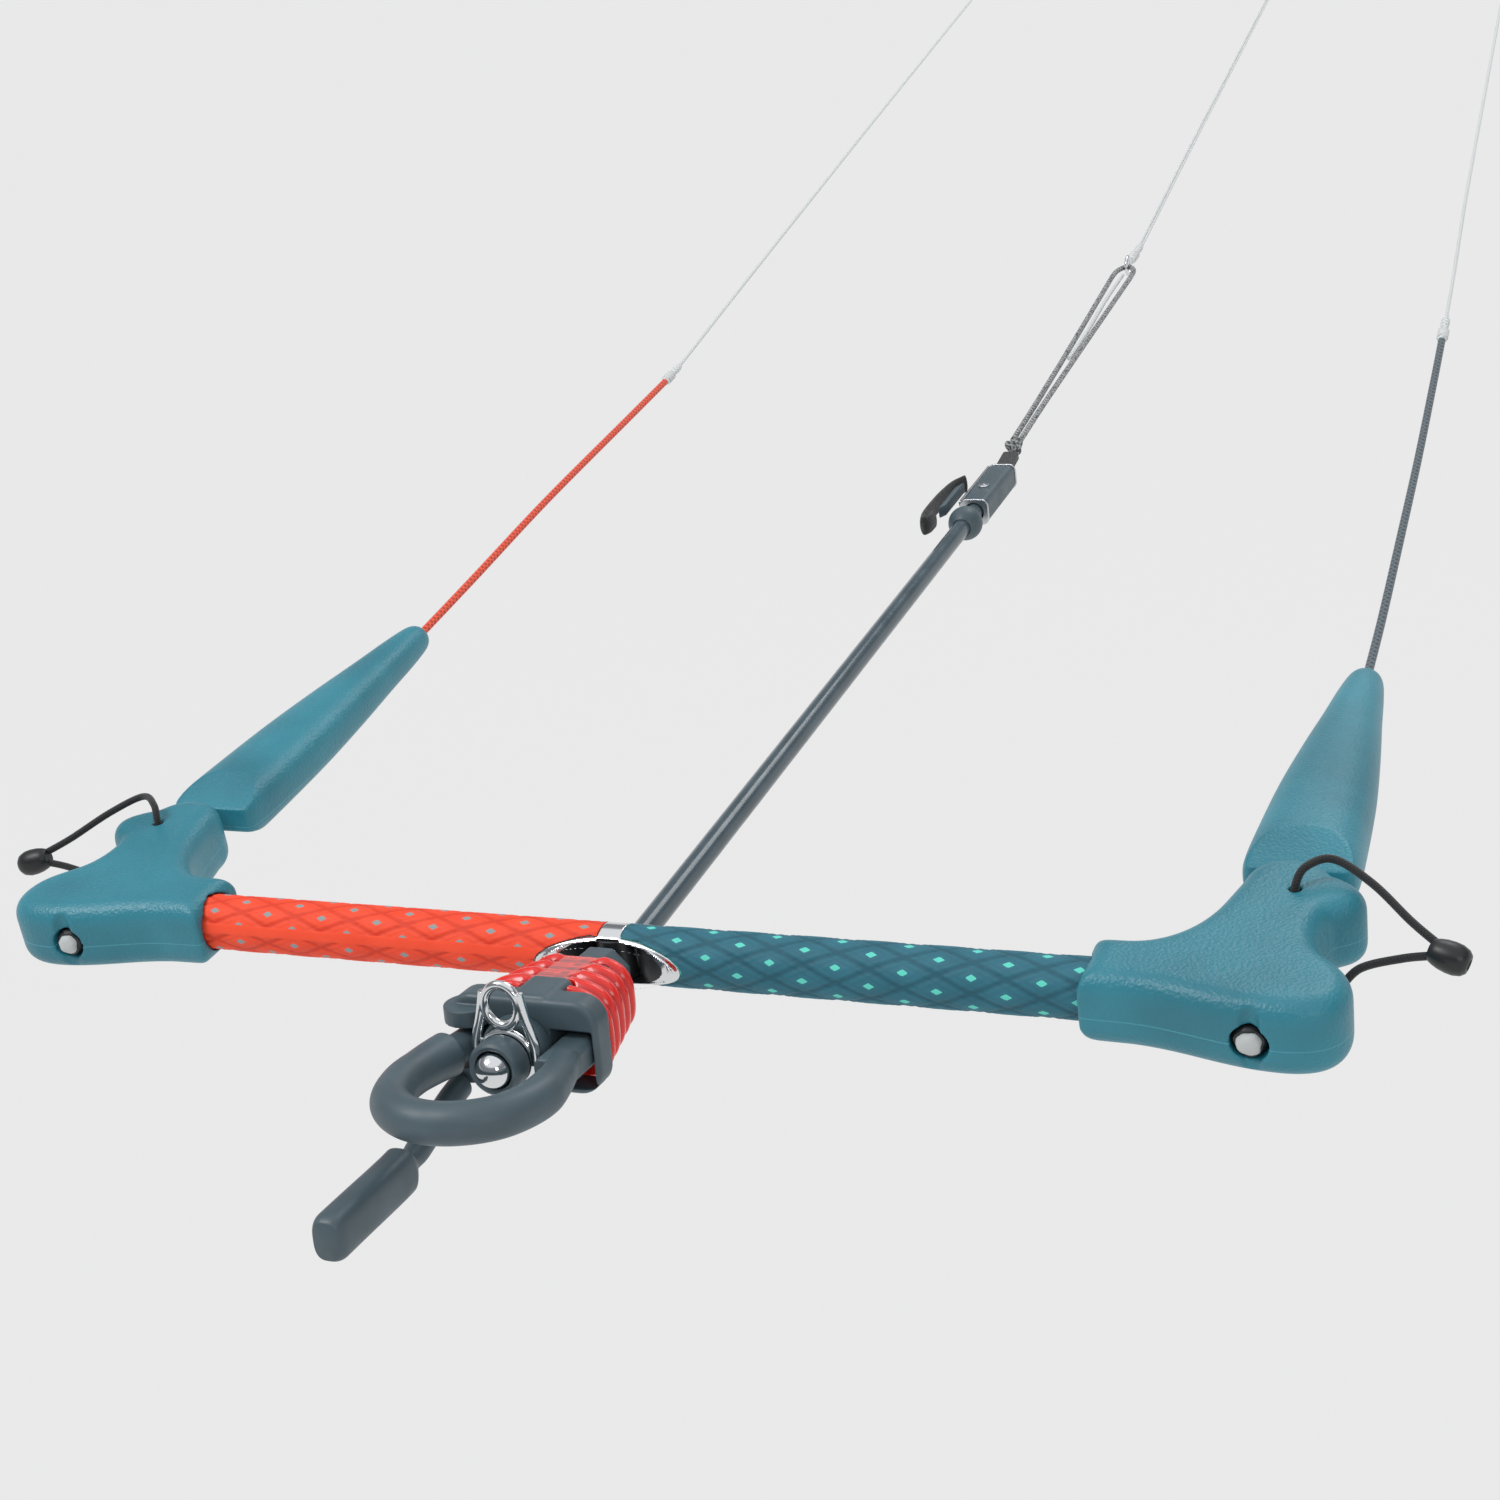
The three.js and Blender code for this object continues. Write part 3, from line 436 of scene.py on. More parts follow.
def sweep(name, path, radius, mat, sides=16, place=IDENTITY, closed=False, flat=1.0):
    """A round cord along path. radius is a number or a function of the share of the way.
    Its UV map holds the length along it in metres and the share of the way round."""
    path = [Vector(p) for p in path]
    count = len(path)
    rings, uvs, lengths = [], [], []
    side = None
    gone = 0.0
    for i, point in enumerate(path):
        before = path[i - 1] if i or closed else path[0]
        after = path[(i + 1) % count] if i < count - 1 or closed else path[-1]
        way = (after - before).normalized()
        if side is None:
            side = way.cross(Vector((0, 0, 1))) if abs(way.z) < 0.9 else way.orthogonal()
            side.normalize()
        side = (side - way * side.dot(way)).normalized()
        over = way.cross(side)
        if i:
            gone += (point - path[i - 1]).length
        lengths.append(gone * MM)
        r = radius(i / (count - 1)) if callable(radius) else radius
        rings.append([point + side * (r * c) + over * (r * flat * s) for c, s in circle(sides)])
    verts, faces = rings_mesh(rings, closed)
    for i in range(count if closed else count - 1):
        start, end = lengths[i], lengths[i + 1] if i + 1 < count else lengths[-1] + 2 * MM
        for k in range(sides):
            here, there = k / sides, (k + 1) / sides
            uvs += [(start, here), (start, there), (end, there), (end, here)]
    if not closed:
        uvs += [(lengths[i], k / sides) for i in (0, -1) for k in range(sides) for _ in range(3)]
    mesh = new_mesh(name, verts, faces, place)
    for loop, uv in zip(mesh.uv_layers.new(name="UVMap").data, uvs):
        loop.uv = uv
    return finish_mesh(new_object(name, mesh, mat), 60)


def lathe(name, profile, mat, place=IDENTITY, sides=64, closed=False, sharp=40.0):
    """A profile of (radius, y) turned about Y. Unless closed, it starts and ends on the axis."""
    rings = [[(max(r, 1e-4) * c, y, max(r, 1e-4) * s) for c, s in circle(sides)] for r, y in profile]
    verts, faces = rings_mesh(rings, closed)
    return piece(name, verts, faces, mat, place, sharp)


def rod(a, b, radius, sides=64):
    """A cylinder between two points, for joining and cutting."""
    a, b = Vector(a), Vector(b)
    turn = Vector((0, 1, 0)).rotation_difference((b - a).normalized()).to_matrix().to_4x4()
    place = shift(a) @ turn
    long = (b - a).length
    return lathe("tool", [(0, 0), (radius, 0), (radius, long), (0, long)], BLACK, place, sides)


def block(centre, size, place=IDENTITY):
    """A box, for joining and cutting."""
    x, y, z = centre
    w, d, h = (s / 2 for s in size)
    verts = [(x + i * w, y + j * d, z + k * h) for i in (-1, 1) for j in (-1, 1) for k in (-1, 1)]
    faces = [(0, 1, 3, 2), (4, 6, 7, 5), (0, 4, 5, 1), (2, 3, 7, 6), (0, 2, 6, 4), (1, 5, 7, 3)]
    return piece("tool", verts, faces, BLACK, place)


def round_rectangle(y, half_w, half_h, corner, x=0.0, z=0.0, steps=12):
    """A rectangle with round corners, across Y."""
    ring = []
    for quarter, (i, k) in enumerate(((1, 1), (-1, 1), (-1, -1), (1, -1))):
        for step in range(steps + 1):
            turn = pi / 2 * (quarter + step / steps)
            ring.append((x + i * (half_w - corner) + corner * cos(turn), y,
                         z + k * (half_h - corner) + corner * sin(turn)))
    return ring


def rounded_bar(back, front, width, height, corner, edge, x=0.0, z=0.0):
    """A rounded-rectangle bar along Y whose end edges are rounded too."""
    rings = []
    steps = 6
    for i in range(steps + 1):
        turn = pi / 2 * i / steps
        inset = edge * (1 - sin(turn))
        rings.append(round_rectangle(back + edge * (1 - cos(turn)), width / 2 - inset,
                                     height / 2 - inset, corner - inset, x, z))
    mirrored = [[(p[0], back + front - p[1], p[2]) for p in ring] for ring in reversed(rings)]
    verts, faces = rings_mesh(rings + mirrored)
    return piece("tool", verts, faces, BLACK)


def modify(obj, kind, **settings):
    """Runs one modifier and keeps its result as the plain mesh."""
    step = obj.modifiers.new(kind, kind)
    for key, value in settings.items():
        setattr(step, key, value)
    old = obj.data
    obj.data = evaluated_mesh(obj)
    obj.modifiers.clear()
    bpy.data.meshes.remove(old)
    return obj


def combine(base, tools, operation="DIFFERENCE"):
    """Joins or cuts base with each tool, then deletes the tools."""
    for tool in tools:
        modify(base, "BOOLEAN", object=tool, operation=operation, solver="EXACT")
        mesh = tool.data
        bpy.data.objects.remove(tool)
        bpy.data.meshes.remove(mesh)
    return base


def soften(obj, voxel, rounds, mat, name):
    """Remeshes a solid finely and rounds its edges, as a moulding has them."""
    modify(obj, "REMESH", mode="VOXEL", voxel_size=voxel * MM, use_smooth_shade=True)
    modify(obj, "SMOOTH", factor=0.5, iterations=rounds)
    obj.name = obj.data.name = name
    obj.data.materials.clear()
    obj.data.materials.append(mat)
    for face in obj.data.polygons:
        face.use_smooth = True
        face.material_index = 0
    return obj


def stands_for(obj, body, slot, *nodes):
    """The piece moves with body and replaces those nodes; slot is not used."""
    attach(obj, body)
    if nodes:
        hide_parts(*nodes)
    return obj


# ---- lines and leaders ----
LEADERS = {
    "left": [(-237, 79, 0.5), (-237, 180, 3.5), (-237, 268, 6.2), (-237, 277, 6.6), (-237, 341, 13),
             (-237, 435, 23), (-237, 552, 32.5), (-237, 614, 37.5)],
    "right": [(237, 79, -0.5), (237, 180, -3.5), (237, 268, -6.2), (237, 277, -6.3), (237, 333, -1.5),
              (237, 407, 9), (237, 489, 21.5), (237, 571, 38), (237, 614, 47.5)],
}
LINES = {
    "left": [(-237, 640, 40.5), (-237, 662, 44), (-237, 769, 62), (-237, 1069, 111), (-237, 1365, 158),
             (-237, 1396, 163)],
    "right": [(237, 640, 53), (237, 686, 66), (237, 758, 90), (237, 864, 118), (237, 1044, 164),
              (237, 1080, 173)],
}
FRONT_LINE = [(0, 935, 33), (0, 1120, 61), (0, 1330, 91), (0, 1504, 116), (0, 1540, 121.5)]


def eye_path(at, long, wide, x=0.0):
    """The closed loop spliced into a line's end, beyond at."""
    r, inset, steps = wide / 2, 0.6, 23
    path = []
    for start, y in ((pi, GAP + r + inset), (0, GAP + long - r - inset)):
        for i in range(steps + 1):
            turn = start + pi * i / steps
            path.append((at[0] + x + r * cos(turn), at[1] + y + r * sin(turn), at[2]))
    return path


def whipping(name, a, b, radius, waist):
    """The stitched splice that joins two lines: a spindle bound with thread."""
    a, b = Vector(a), Vector(b)
    path = [a.lerp(b, 0.01 + 0.98 * i / 90) for i in range(91)]
    shape = [0.7, 1.0, 0.98, 0.95, waist / radius, 0.72, 0.8, 0.75, waist / radius * 0.9]

    def size(share):
        t = share * (len(shape) - 1)
        k = min(int(t), len(shape) - 2)
        base = shape[k] + (shape[k + 1] - shape[k]) * (t - k)
        return radius * base * (1 + 0.05 * sin(share * 150))

    return sweep(name, path, size, LINE, 20)


def thread_tree():
    """Turns of thread up Z: a spiral swept with a round section."""
    tree = bpy.data.node_groups.new("thread_turns", "GeometryNodeTree")
    for label in ("Turns", "Radius", "Length", "Thread"):
        tree.interface.new_socket(label, in_out="INPUT", socket_type="NodeSocketFloat")
    tree.interface.new_socket("Geometry", in_out="OUTPUT", socket_type="NodeSocketGeometry")
    sizes = add(tree, "NodeGroupInput").outputs
    links = {"Resolution": 14, "Rotations": sizes["Turns"], "Start Radius": sizes["Radius"],
             "End Radius": sizes["Radius"], "Height": sizes["Length"]}
    spiral = add(tree, "GeometryNodeCurveSpiral", links)
    section = add(tree, "GeometryNodeCurvePrimitiveCircle", {"Resolution": 6, "Radius": sizes["Thread"]})
    links = {0: spiral.outputs[0], 1: section.outputs[0], "Fill Caps": True}
    swept = add(tree, "GeometryNodeCurveToMesh", links)
    real = add(tree, "GeometryNodeRealizeInstances", {0: swept.outputs[0]})
    done = add(tree, "GeometryNodeSetMaterial", {0: real.outputs[0], "Material": THREAD})
    add(tree, "NodeGroupOutput", {0: done.outputs[0]})
    return tree


THREAD_TREE = thread_tree()


def thread_turns(name, a, b, radius, turns):
    """Thread wound round a splice between the points a and b."""
    a, b = Vector(a), Vector(b)
    obj = new_object(name, bpy.data.meshes.new(name))
    step = obj.modifiers.new("turns", "NODES")
    step.node_group = THREAD_TREE
    sizes = {"Turns": turns, "Radius": radius * MM, "Length": (b - a).length * MM, "Thread": 0.22 * MM}
    for socket in THREAD_TREE.interface.items_tree:
        if socket.in_out == "INPUT":
            step[socket.identifier] = float(sizes[socket.name])
    obj.data = evaluated_mesh(obj)
    obj.modifiers.clear()
    turn = Vector((0, 0, 1)).rotation_difference((b - a).normalized()).to_matrix().to_4x4()
    obj.data.transform(shift(a * MM) @ turn)
    return finish_mesh(obj, 80)


def leader_side(side, name):
    body = "leader_line_" + name
    points = route(LEADERS[name], 4)
    look = LEADER_RED if side < 0 else LEADER_SLATE
    leader = sweep("braided_leader_" + name, points, 2.0, look, 18)
    stands_for(leader, body, "red_leader" if side < 0 else "slate_leader", "leader_" + name)
    splice = whipping("splice_" + name, LEADERS[name][-1], LINES[name][0], 3.0, 1.7)
    stands_for(splice, body, "white_line", "whipping_" + name)
    first, last = Vector(LEADERS[name][-1]), Vector(LINES[name][0])
    winding = thread_turns("splice_thread_" + name, first.lerp(last, 0.1), first.lerp(last, 0.42), 3.0, 12)
    stands_for(winding, body, "white_line")
    points = route(LINES[name], 5)
    line = sweep("flying_line_" + name, points, 1.0, LINE, 10)
    stands_for(line, body, "white_line", "line_" + name)
    loop = sweep("line_loop_" + name, eye_path(LINES[name][-1], 34, 8), 0.9, LINE, 10, closed=True)
    stands_for(loop, body, "white_line", "line_eye_" + name)


def front_lines():
    knot = whipping("front_splice", (0, 899, 30.6), (0, 934.6, 33), 3.2, 1.9)
    stands_for(knot, "front_lines", "white_line", "front_knot")
    winding = thread_turns("front_splice_thread", (0, 903, 30.9), (0, 914, 31.6), 3.15, 12)
    stands_for(winding, "front_lines", "white_line")
    for x, name in ((-0.95, "a"), (0.95, "b")):
        points = [p + Vector((x, 0, 0)) for p in route(FRONT_LINE, 5)]
        line = sweep("front_line_" + name, points, 0.8, LINE, 10)
        stands_for(line, "front_lines", "white_line", "front_line")
        eye = eye_path(FRONT_LINE[-1], 36, 9, x * 0.8)
        loop = sweep("front_loop_" + name, eye, 0.75, LINE, 10, closed=True)
        loop.data.transform(shift((0, 0, x * 0.9 * MM)))
        stands_for(loop, "front_lines", "white_line", "front_line_eye")


leader_side(-1, "left")
leader_side(1, "right")
front_lines()


# ---- grips and bar ----
def eye_tool(half_x, half_z):
    """The eye-shaped space through the bar along Y, as a cutter."""
    verts, faces = rings_mesh([oval(y, half_x, half_z, sides=96) for y in (-60, 60)])
    return piece("tool", verts, faces, BLACK)


PITCH = 25.0
ROW_STEP = {-1: 27.0, 1: 30.0}
FIRST_ROW = {-1: 152.0, 1: 145.0}
ANCHOR_X = {-1: -111.5, 1: 90.0}


def lattice_at(side, x, turn):
    """Distances in mm, along and round the grip, to the nearest diamond, and the relief height."""
    step, first = ROW_STEP[side], FIRST_ROW[side]
    rows = (first - degrees(turn)) % 360 / step
    row = min(round(rows), 12 if side < 0 else 11)
    off = rows - row
    if off > 0.5 and side > 0:
        row, off = row + 1, off - 1
    stagger = PITCH / 2 if row % 2 else 0.0
    along = (x - ANCHOR_X[side] - stagger + PITCH / 2) % PITCH - PITCH / 2
    around = off * radians(step) * GRIP_R
    along, around = abs(along), abs(around)
    if off > 0.5:
        return along, around, 0.0
    a = (x - ANCHOR_X[side]) / PITCH + rows / 2
    b = (x - ANCHOR_X[side]) / PITCH - rows / 2
    dip = sum(exp(-(((v % 1) - 0.5) / 0.1) ** 2) for v in (a, b))
    nested = sum(exp(-((abs((v % 1) - 0.5) - 0.25) / 0.05) ** 2) for v in (a, b))
    return along, around, -0.5 * min(dip, 1.2) - 0.16 * min(nested, 1.0)


def grip(side, name):
    """The moulded sleeve: an embossed lattice outside, a plain bore inside, cut for the mouth."""
    sides, step = 150, 0.75
    count = round((187 - 5) / step)
    outer, notes = [], []
    for i in range(count + 1):
        x = side * (5 + step * i)
        fade = min(1.0, i / 3, (count - i) / 3)
        ring = []
        for k in range(sides):
            turn = tau * k / sides
            along, around, relief = lattice_at(side, x, turn)
            r = GRIP_R - 0.1 + relief * fade
            ring.append((x, r * cos(turn), r * sin(turn)))
            notes.append((along, around, min(1.0, -relief / 0.55)))
        outer.append(ring)
    bore = []
    for i in (count, 0):
        bore.append([(side * (5 + step * i), 9.3 * c, 9.3 * s) for c, s in circle(sides)])
        notes += [(9, 9, 0)] * sides
    verts, faces = rings_mesh(outer + bore, closed=True)
    mesh = new_mesh(name, verts, faces)
    layer = mesh.attributes.new("lattice", "FLOAT_VECTOR", "POINT")
    layer.data.foreach_set("vector", [c for note in notes for c in note])
    obj = new_object("grip_sleeve_" + name, mesh, RED_GRIP if side < 0 else TEAL_GRIP)
    finish_mesh(obj, 50)
    combine(obj, [eye_tool(30, 9.9)])
    stands_for(obj, "bar", "red_grip" if side < 0 else "teal_grip", "grip_" + name)


def hourglass():
    """The mouth's plan: as wide as the bush at its waist, flared at both sides."""
    half = []
    for y0, y1, start, end, bend in ((-12, 0, 29, 8.1, -9), (0, 12, 8.1, 29, 9)):
        for i in range(17):
            t = i / 16
            x = (1 - t) ** 2 * start + 2 * t * (1 - t) * 10.1 + t * t * end
            y = (1 - t) ** 2 * y0 + 2 * t * (1 - t) * bend + t * t * y1
            half.append((x, y))
    return prism("tool", half + [(-x, y) for x, y in reversed(half)], -60, 60, BLACK)


def centre_insert():
    """The steel mouth: polished outside, with a black liner where the bush and tube run."""
    core = rod((-30.7, 0, 0), (30.7, 0, 0), 9.0, 96)
    skin = combine(rod((-30, 0, 0), (30, 0, 0), 11.2, 128), [eye_tool(29.7, 9.6)], "INTERSECT")
    bridge = rod((-4.7, 0, 0), (4.7, 0, 0), 11.2, 128)
    combine(core, [skin, bridge], "UNION")
    funnel = combine(hourglass(), [eye_tool(27, 8.6)], "INTERSECT")
    combine(core, [funnel, rod((0, 0, -9), (0, 0, 9), 8.1, 96)])
    soften(core, 0.32, 3, STEEL, "mouth_insert")
    core.data.materials.append(BLACK)
    for face in core.data.polygons:
        x, y, z = face.center / MM
        inside = (x / 27.1) ** 2 + (z / 8.75) ** 2 < 1 and hypot(y, z) < 10.6
        face.material_index = int(inside)
    stands_for(core, "bar", "chrome", "centre_insert")
    puck = rod((0, 0, -8.6), (0, 0, 8.6), 7.6, 96)
    combine(puck, [rod((0, -20, TRUNK_Z), (0, 20, TRUNK_Z), 5.35, 64)])
    soften(puck, 0.25, 3, BLACK, "tube_bush")
    stands_for(puck, "bush", "black_plastic", "line_bush")


# ---- foam ends ----
def bezier(p0, p1, p2, p3, count):
    out = []
    for i in range(1, count + 1):
        t = i / count
        u = 1 - t
        out.append(tuple(u ** 3 * a + 3 * u * u * t * b + 3 * u * t * t * c + t ** 3 * d
                         for a, b, c, d in zip(p0, p1, p2, p3)))
    return out


def end_outline():
    """Right-hand foam end in plan: socket, neck with its round dome, winding horn, end lobe."""
    pts = [(178, 15), (192, 15.5)]
    pts += bezier(pts[-1], (204, 17), (213, 30), (217, 48), 14)
    pts += [(LINE_X - 16.5, DOME_Y)]
    for i in range(1, 25):
        turn = pi - (pi * 0.88) * i / 24
        pts.append((LINE_X + 16.5 * cos(turn), DOME_Y + 16.5 * sin(turn)))
    for curve in (((257, 66), (266, 60), (265, 52)), ((264, 46), (258, 44), (254.5, 41)),
                  ((252, 34), (252, 26), (254, 20)), ((256, 12), (268, 8), (268, -7)),
                  ((268, -19), (260, -25), (247, -25)), ((228, -25), (214, -17), (196, -15.5))):
        pts += bezier(pts[-1], *curve, 12)
    pts.append((178, -15))
    return pts


def bar_end(side, name):
    outline = [(side * x, y) for x, y in end_outline()]
    half, edge = 14.5, 8.0
    curve = bpy.data.curves.new("outline", "CURVE")
    curve.dimensions = "2D"
    curve.fill_mode = "BOTH"
    curve.extrude = (half - edge) * MM
    curve.bevel_depth = edge * MM
    curve.bevel_resolution = 8
    curve.offset = -edge * MM
    spline = curve.splines.new("POLY")
    spline.points.add(len(outline) - 1)
    for point, (x, y) in zip(spline.points, outline):
        point.co = (x * MM, y * MM, 0, 1)
    spline.use_cyclic_u = True
    shape = new_object("outline", curve)
    obj = finish_mesh(new_object("foam_end_" + name, evaluated_mesh(shape)), 60)
    bpy.data.objects.remove(shape)
    x = side * LINE_X
    tools = [
        rod((side * 170, 0, 0), (side * 188, 0, 0), 11.6),
        rod((side * 187, 0, 0), (side * 225, 0, 0), 9.3),
        rod((x, -60, LEADER_Z), (x, DOME_Y, 0), LEADER_HOLE, 32),
        rod((x, DOME_Y - 2, 0), (x, DOME_Y + 40, 0), LEADER_HOLE, 32),
        rod((x, -60, LEADER_Z), (x, -17, LEADER_Z), 6.6),
        rod((side * (LINE_X + 4), 52, -60), (side * (LINE_X + 4), 52, 60), 2.3, 32),
        rod((x, -26, -60), (x, -26, 60), 4.2, 32),
    ]
    soften(obj, 1.1, 6, FOAM, "foam_end_" + name)
    combine(obj, tools)
    soften(obj, 0.72, 3, FOAM, "foam_end_" + name)
    obj.data.materials.append(BLACK)
    for face in obj.data.polygons:
        at = face.center / MM
        face.material_index = int(at.y < -15.5 and hypot(at.x - x, at.z - LEADER_Z) < 6.55)
    stands_for(obj, "bar", "teal_foam", "bar_end_" + name)
    profile = [(0, -25.5), (1.6, -25.4), (3.2, -25.0), (4.0, -24.0), (4.1, -22.9), (4.9, -22.8), (5.5, -22),
               (5.7, -20.5), (5.2, -19), (3.4, -18.2), (2, -17.8), (0, -17.7)]
    knot = lathe("leader_knot_" + name, profile, LINE, shift((x, 0, LEADER_Z)), 28)
    for vert in knot.data.vertices:
        off_x, off_z = vert.co.x - x * MM, vert.co.z - LEADER_Z * MM
        turn = atan2(off_z, off_x)
        wave = 1 + 0.07 * sin(3 * turn + vert.co.y / MM * 1.4) + 0.03 * sin(7 * turn)
        vert.co.x = x * MM + off_x * wave
        vert.co.z = LEADER_Z * MM + off_z * wave
    knot.data.materials.append(BLACK)
    for face in knot.data.polygons:
        face.material_index = int(face.center.y > -22.86 * MM)
    stands_for(knot, "bar", "white_line", "line_knot_" + name)


# ---- floats ----
FLOAT_SECTIONS = [
    (82, 17.6, 10.6, 2.6), (82.7, 19.2, 11.6, 2.6), (84.5, 20.4, 12.6, 2.6), (90, 21.2, 13.2, 2.6),
    (107, 21, 13.2, 2.6), (152, 19.2, 12.6, 2.5), (192, 16, 11.4, 2.4), (227, 12.5, 9.8, 2.3),
    (252, 10.2, 8.8, 2.2), (267, 8.5, 8.0, 2.0), (273, 7.2, 7.0, 2.0), (275.4, 5.6, 5.6, 2.0),
    (276, 4.2, 4.2, 2.0),
]


def float_piece(side, name):
    place = shift((side * LINE_X, DOME_Y, 0)) @ Matrix.Rotation(-side * FLOAT_TILT, 4, "X")
    place = place @ shift((0, -DOME_Y, 0))
    rings = [oval(y, a, b, square=s, sides=96) for y, a, b, s in smooth_steps(FLOAT_SECTIONS, 150)]
    verts, faces = rings_mesh(rings)
    obj = piece("foam_float_" + name, verts, faces, FOAM, place, 50)
    tools = [rod((0, 0, 0), (0, 400, 0), LEADER_HOLE, 32)]
    for up in (-1, 1):
        slope = shift((0, 82, up * 5.6)) @ Matrix.Rotation(up * radians(19), 4, "X")
        tools.append(block((0, 0, up * 15), (60, 60, 30), slope))
    combine(obj, [moved(tool, place) for tool in tools])
    soften(obj, 0.7, 3, FOAM, "foam_float_" + name)
    stands_for(obj, "leader_line_" + name, "teal_foam", "float_" + name)


# ---- bungees ----
BUNGEE = [(4, 52, 10), (4, 52, 15.6), (7, 56, 21), (16, 61, 22), (30, 54, 17), (44, 42, 10),
          (53.5, 34.5, 6.2)]
BUNGEE_BACK = [(52.6, 31.6, 3.4), (42, 34, 0), (28, 34, -5), (20.5, 31, -12), (12, 36, -18.5),
               (4, 48, -18.6), (4, 52, -15.6), (4, 52, -10)]
BALL_AT = (57.2, 31.2, 3.6)


def bungee(side, name):
    def flip(p):
        return Vector((side * (LINE_X + p[0]), p[1], p[2]))

    runs = (("elastic", BUNGEE, "bungee_"), ("elastic_back", BUNGEE_BACK, "bungee_return_"))
    for label, points, node in runs:
        path = route([flip(p) for p in points], 1.2)
        cord = sweep(label + "_" + name, path, 1.5, ELASTIC, 14)
        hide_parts(node + name)
        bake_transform(cord, "bar", "ball_" + name, start=flip((20, 45, 0)) * MM, end=flip((50, 45, 0)) * MM)
    place = shift(flip(BALL_AT))
    turn = Vector((0, 1, 0)).rotation_difference(Vector((-side * 6.2, 1.7, 1.5)).normalized())
    place = place @ turn.to_matrix().to_4x4()
    profile = [(0, -6.3), (1.6, -6.3), (2.0, -7.1), (3.4, -6.9), (4.7, -5.6), (5.5, -3.2), (5.6, -0.6),
               (5.3, 2.2), (4.7, 4.4), (4.0, 6.0), (3.2, 6.7), (0, 6.7)]
    ball = lathe("bungee_knob_" + name, profile, BLACK, place, 40)
    stands_for(ball, "ball_" + name, "black_plastic", "bungee_ball_" + name)


# ---- depower tube, stopper and cleat ----
def depower_tube():
    path = route([(0, -8.2, 0), (0, 250, 0), (0, 502, 0)], 6)
    tube = sweep("depower_sheath", path, 4.8, SLATE_GLOSS, 48, TRUNK)
    stands_for(tube, "depower_line", "slate_gloss", "depower_tube")
    profile = [(5.0, STOPPER_Y - 7.6)]
    profile += [(9.4 * sin(radians(a)), STOPPER_Y - 9.4 * cos(radians(a)))
                for a in range(33, 149, 4)]
    profile += [(5.0, STOPPER_Y + 7.6)]
    ball = lathe("stopper_ball_shell", profile, SLATE, TRUNK, 64, closed=True, sharp=50)
    stands_for(ball, "stopper", "slate_plastic", "stopper_ball")


def cleat():
    """The shell with its lane, the folded steel plate on its left and the rivet."""
    shell = rounded_bar(CLEAT_BACK + 2, CLEAT_FRONT - 2, CLEAT_W, CLEAT_H, 3.6, 1.2)
    rivet_y = CLEAT_BACK + 23
    tools = [
        rod((0, 470, 0), (0, 560, 0), 3.6),
        rod((0, 470, 0), (0, CLEAT_BACK + 18.4, 0), 5.3),
        block((-8, CLEAT_MID + 6, 0), (9, 30, 8.6)),
        rod((0, rivet_y, -30), (0, rivet_y, 30), 1.9, 32),
        block((PLATE_X + 0.1, CLEAT_MID, 0), (2.2, 70, 40)),
    ]
    combine(shell, tools)
    soften(shell, 0.32, 3, SLATE, "cleat_shell")
    moved(shell, TRUNK)
    stands_for(shell, "depower_line", "slate_plastic", "cleat_body")
    web = block((PLATE_X, CLEAT_MID, 0), (1.6, CLEAT_FRONT - CLEAT_BACK - 0.8, 12.8))
    ends = [rounded_bar(y - 0.7, y + 0.7, CLEAT_W + 1, CLEAT_H + 0.6, 4.2, 0.4)
            for y in (CLEAT_BACK + 0.9, CLEAT_FRONT - 0.9)]
    combine(web, ends, "UNION")
    combine(web, [rod((0, 470, 0), (0, 560, 0), 5.4), block((-8, CLEAT_MID + 6, 0), (9, 28, 8))])
    soften(web, 0.25, 2, BRUSHED, "cleat_side_plate")
    moved(web, TRUNK)
    stands_for(web, "depower_line", "chrome", "cleat_plate")
    turned = shift((0, rivet_y, 0)) @ Matrix.Rotation(radians(90), 4, "X")
    half = [(1.6, 7.3), (2.9, 7.3), (2.9, 7.8), (2.3, 8.4), (1.2, 8.4), (0.9, 7.9), (0, 7.9)]
    profile = [(r, -h) for r, h in reversed(half)] + half
    pin = lathe("cleat_pin", profile, STEEL, TRUNK @ turned, 36)
    stands_for(pin, "depower_line", "chrome", "cleat_rivet")


def jaw():
    outline = [(-7.6, 4), (-4, 4)]
    for tooth in range(5):
        outline += [(-3.9, 5.2 + tooth * 3), (-4.7, 6.8 + tooth * 3), (-4.5, 7.0 + tooth * 3)]
    outline.append((-7.6, 20))
    outline = [(x, y + CLEAT_MID - 6) for x, y in outline]
    obj = prism("toothed_jaw", outline, -3.6, 3.6, ALLOY, TRUNK)
    modify(obj, "BEVEL", width=0.15 * MM, segments=2, limit_method="ANGLE")
    stands_for(obj, "jaw", "alloy", "cleat_jaw")


def strap_pull():
    """The pull: a strap folded back at its end, and a small moulded tongue."""
    centre = [(-13.2, 515, 6), (-17.5, 505, 6), (-19.4, 490, 6), (-20, 474, 6), (-19.6, 456, 6),
              (-17.4, 446.5, 6), (-15.0, 450, 6), (-14.6, 458, 6)]
    strap = sweep("strap_pull", route(centre, 1.0), 1.5, WEBBING, 24, TRUNK, flat=3.4)
    stands_for(strap, "trim_pull", "black_webbing", "trim_handle")
    outline = [(-15, 500), (-12, 509.5), (-11.9, 472), (-14.6, 466.5)]
    tongue = prism("pull_tongue", outline, 2.8, 9.2, SLATE, TRUNK)
    modify(tongue, "BEVEL", width=0.7 * MM, segments=3, limit_method="ANGLE")
    finish_mesh(tongue, 30)
    stands_for(tongue, "trim_pull", "slate_plastic", "handle_tongue")


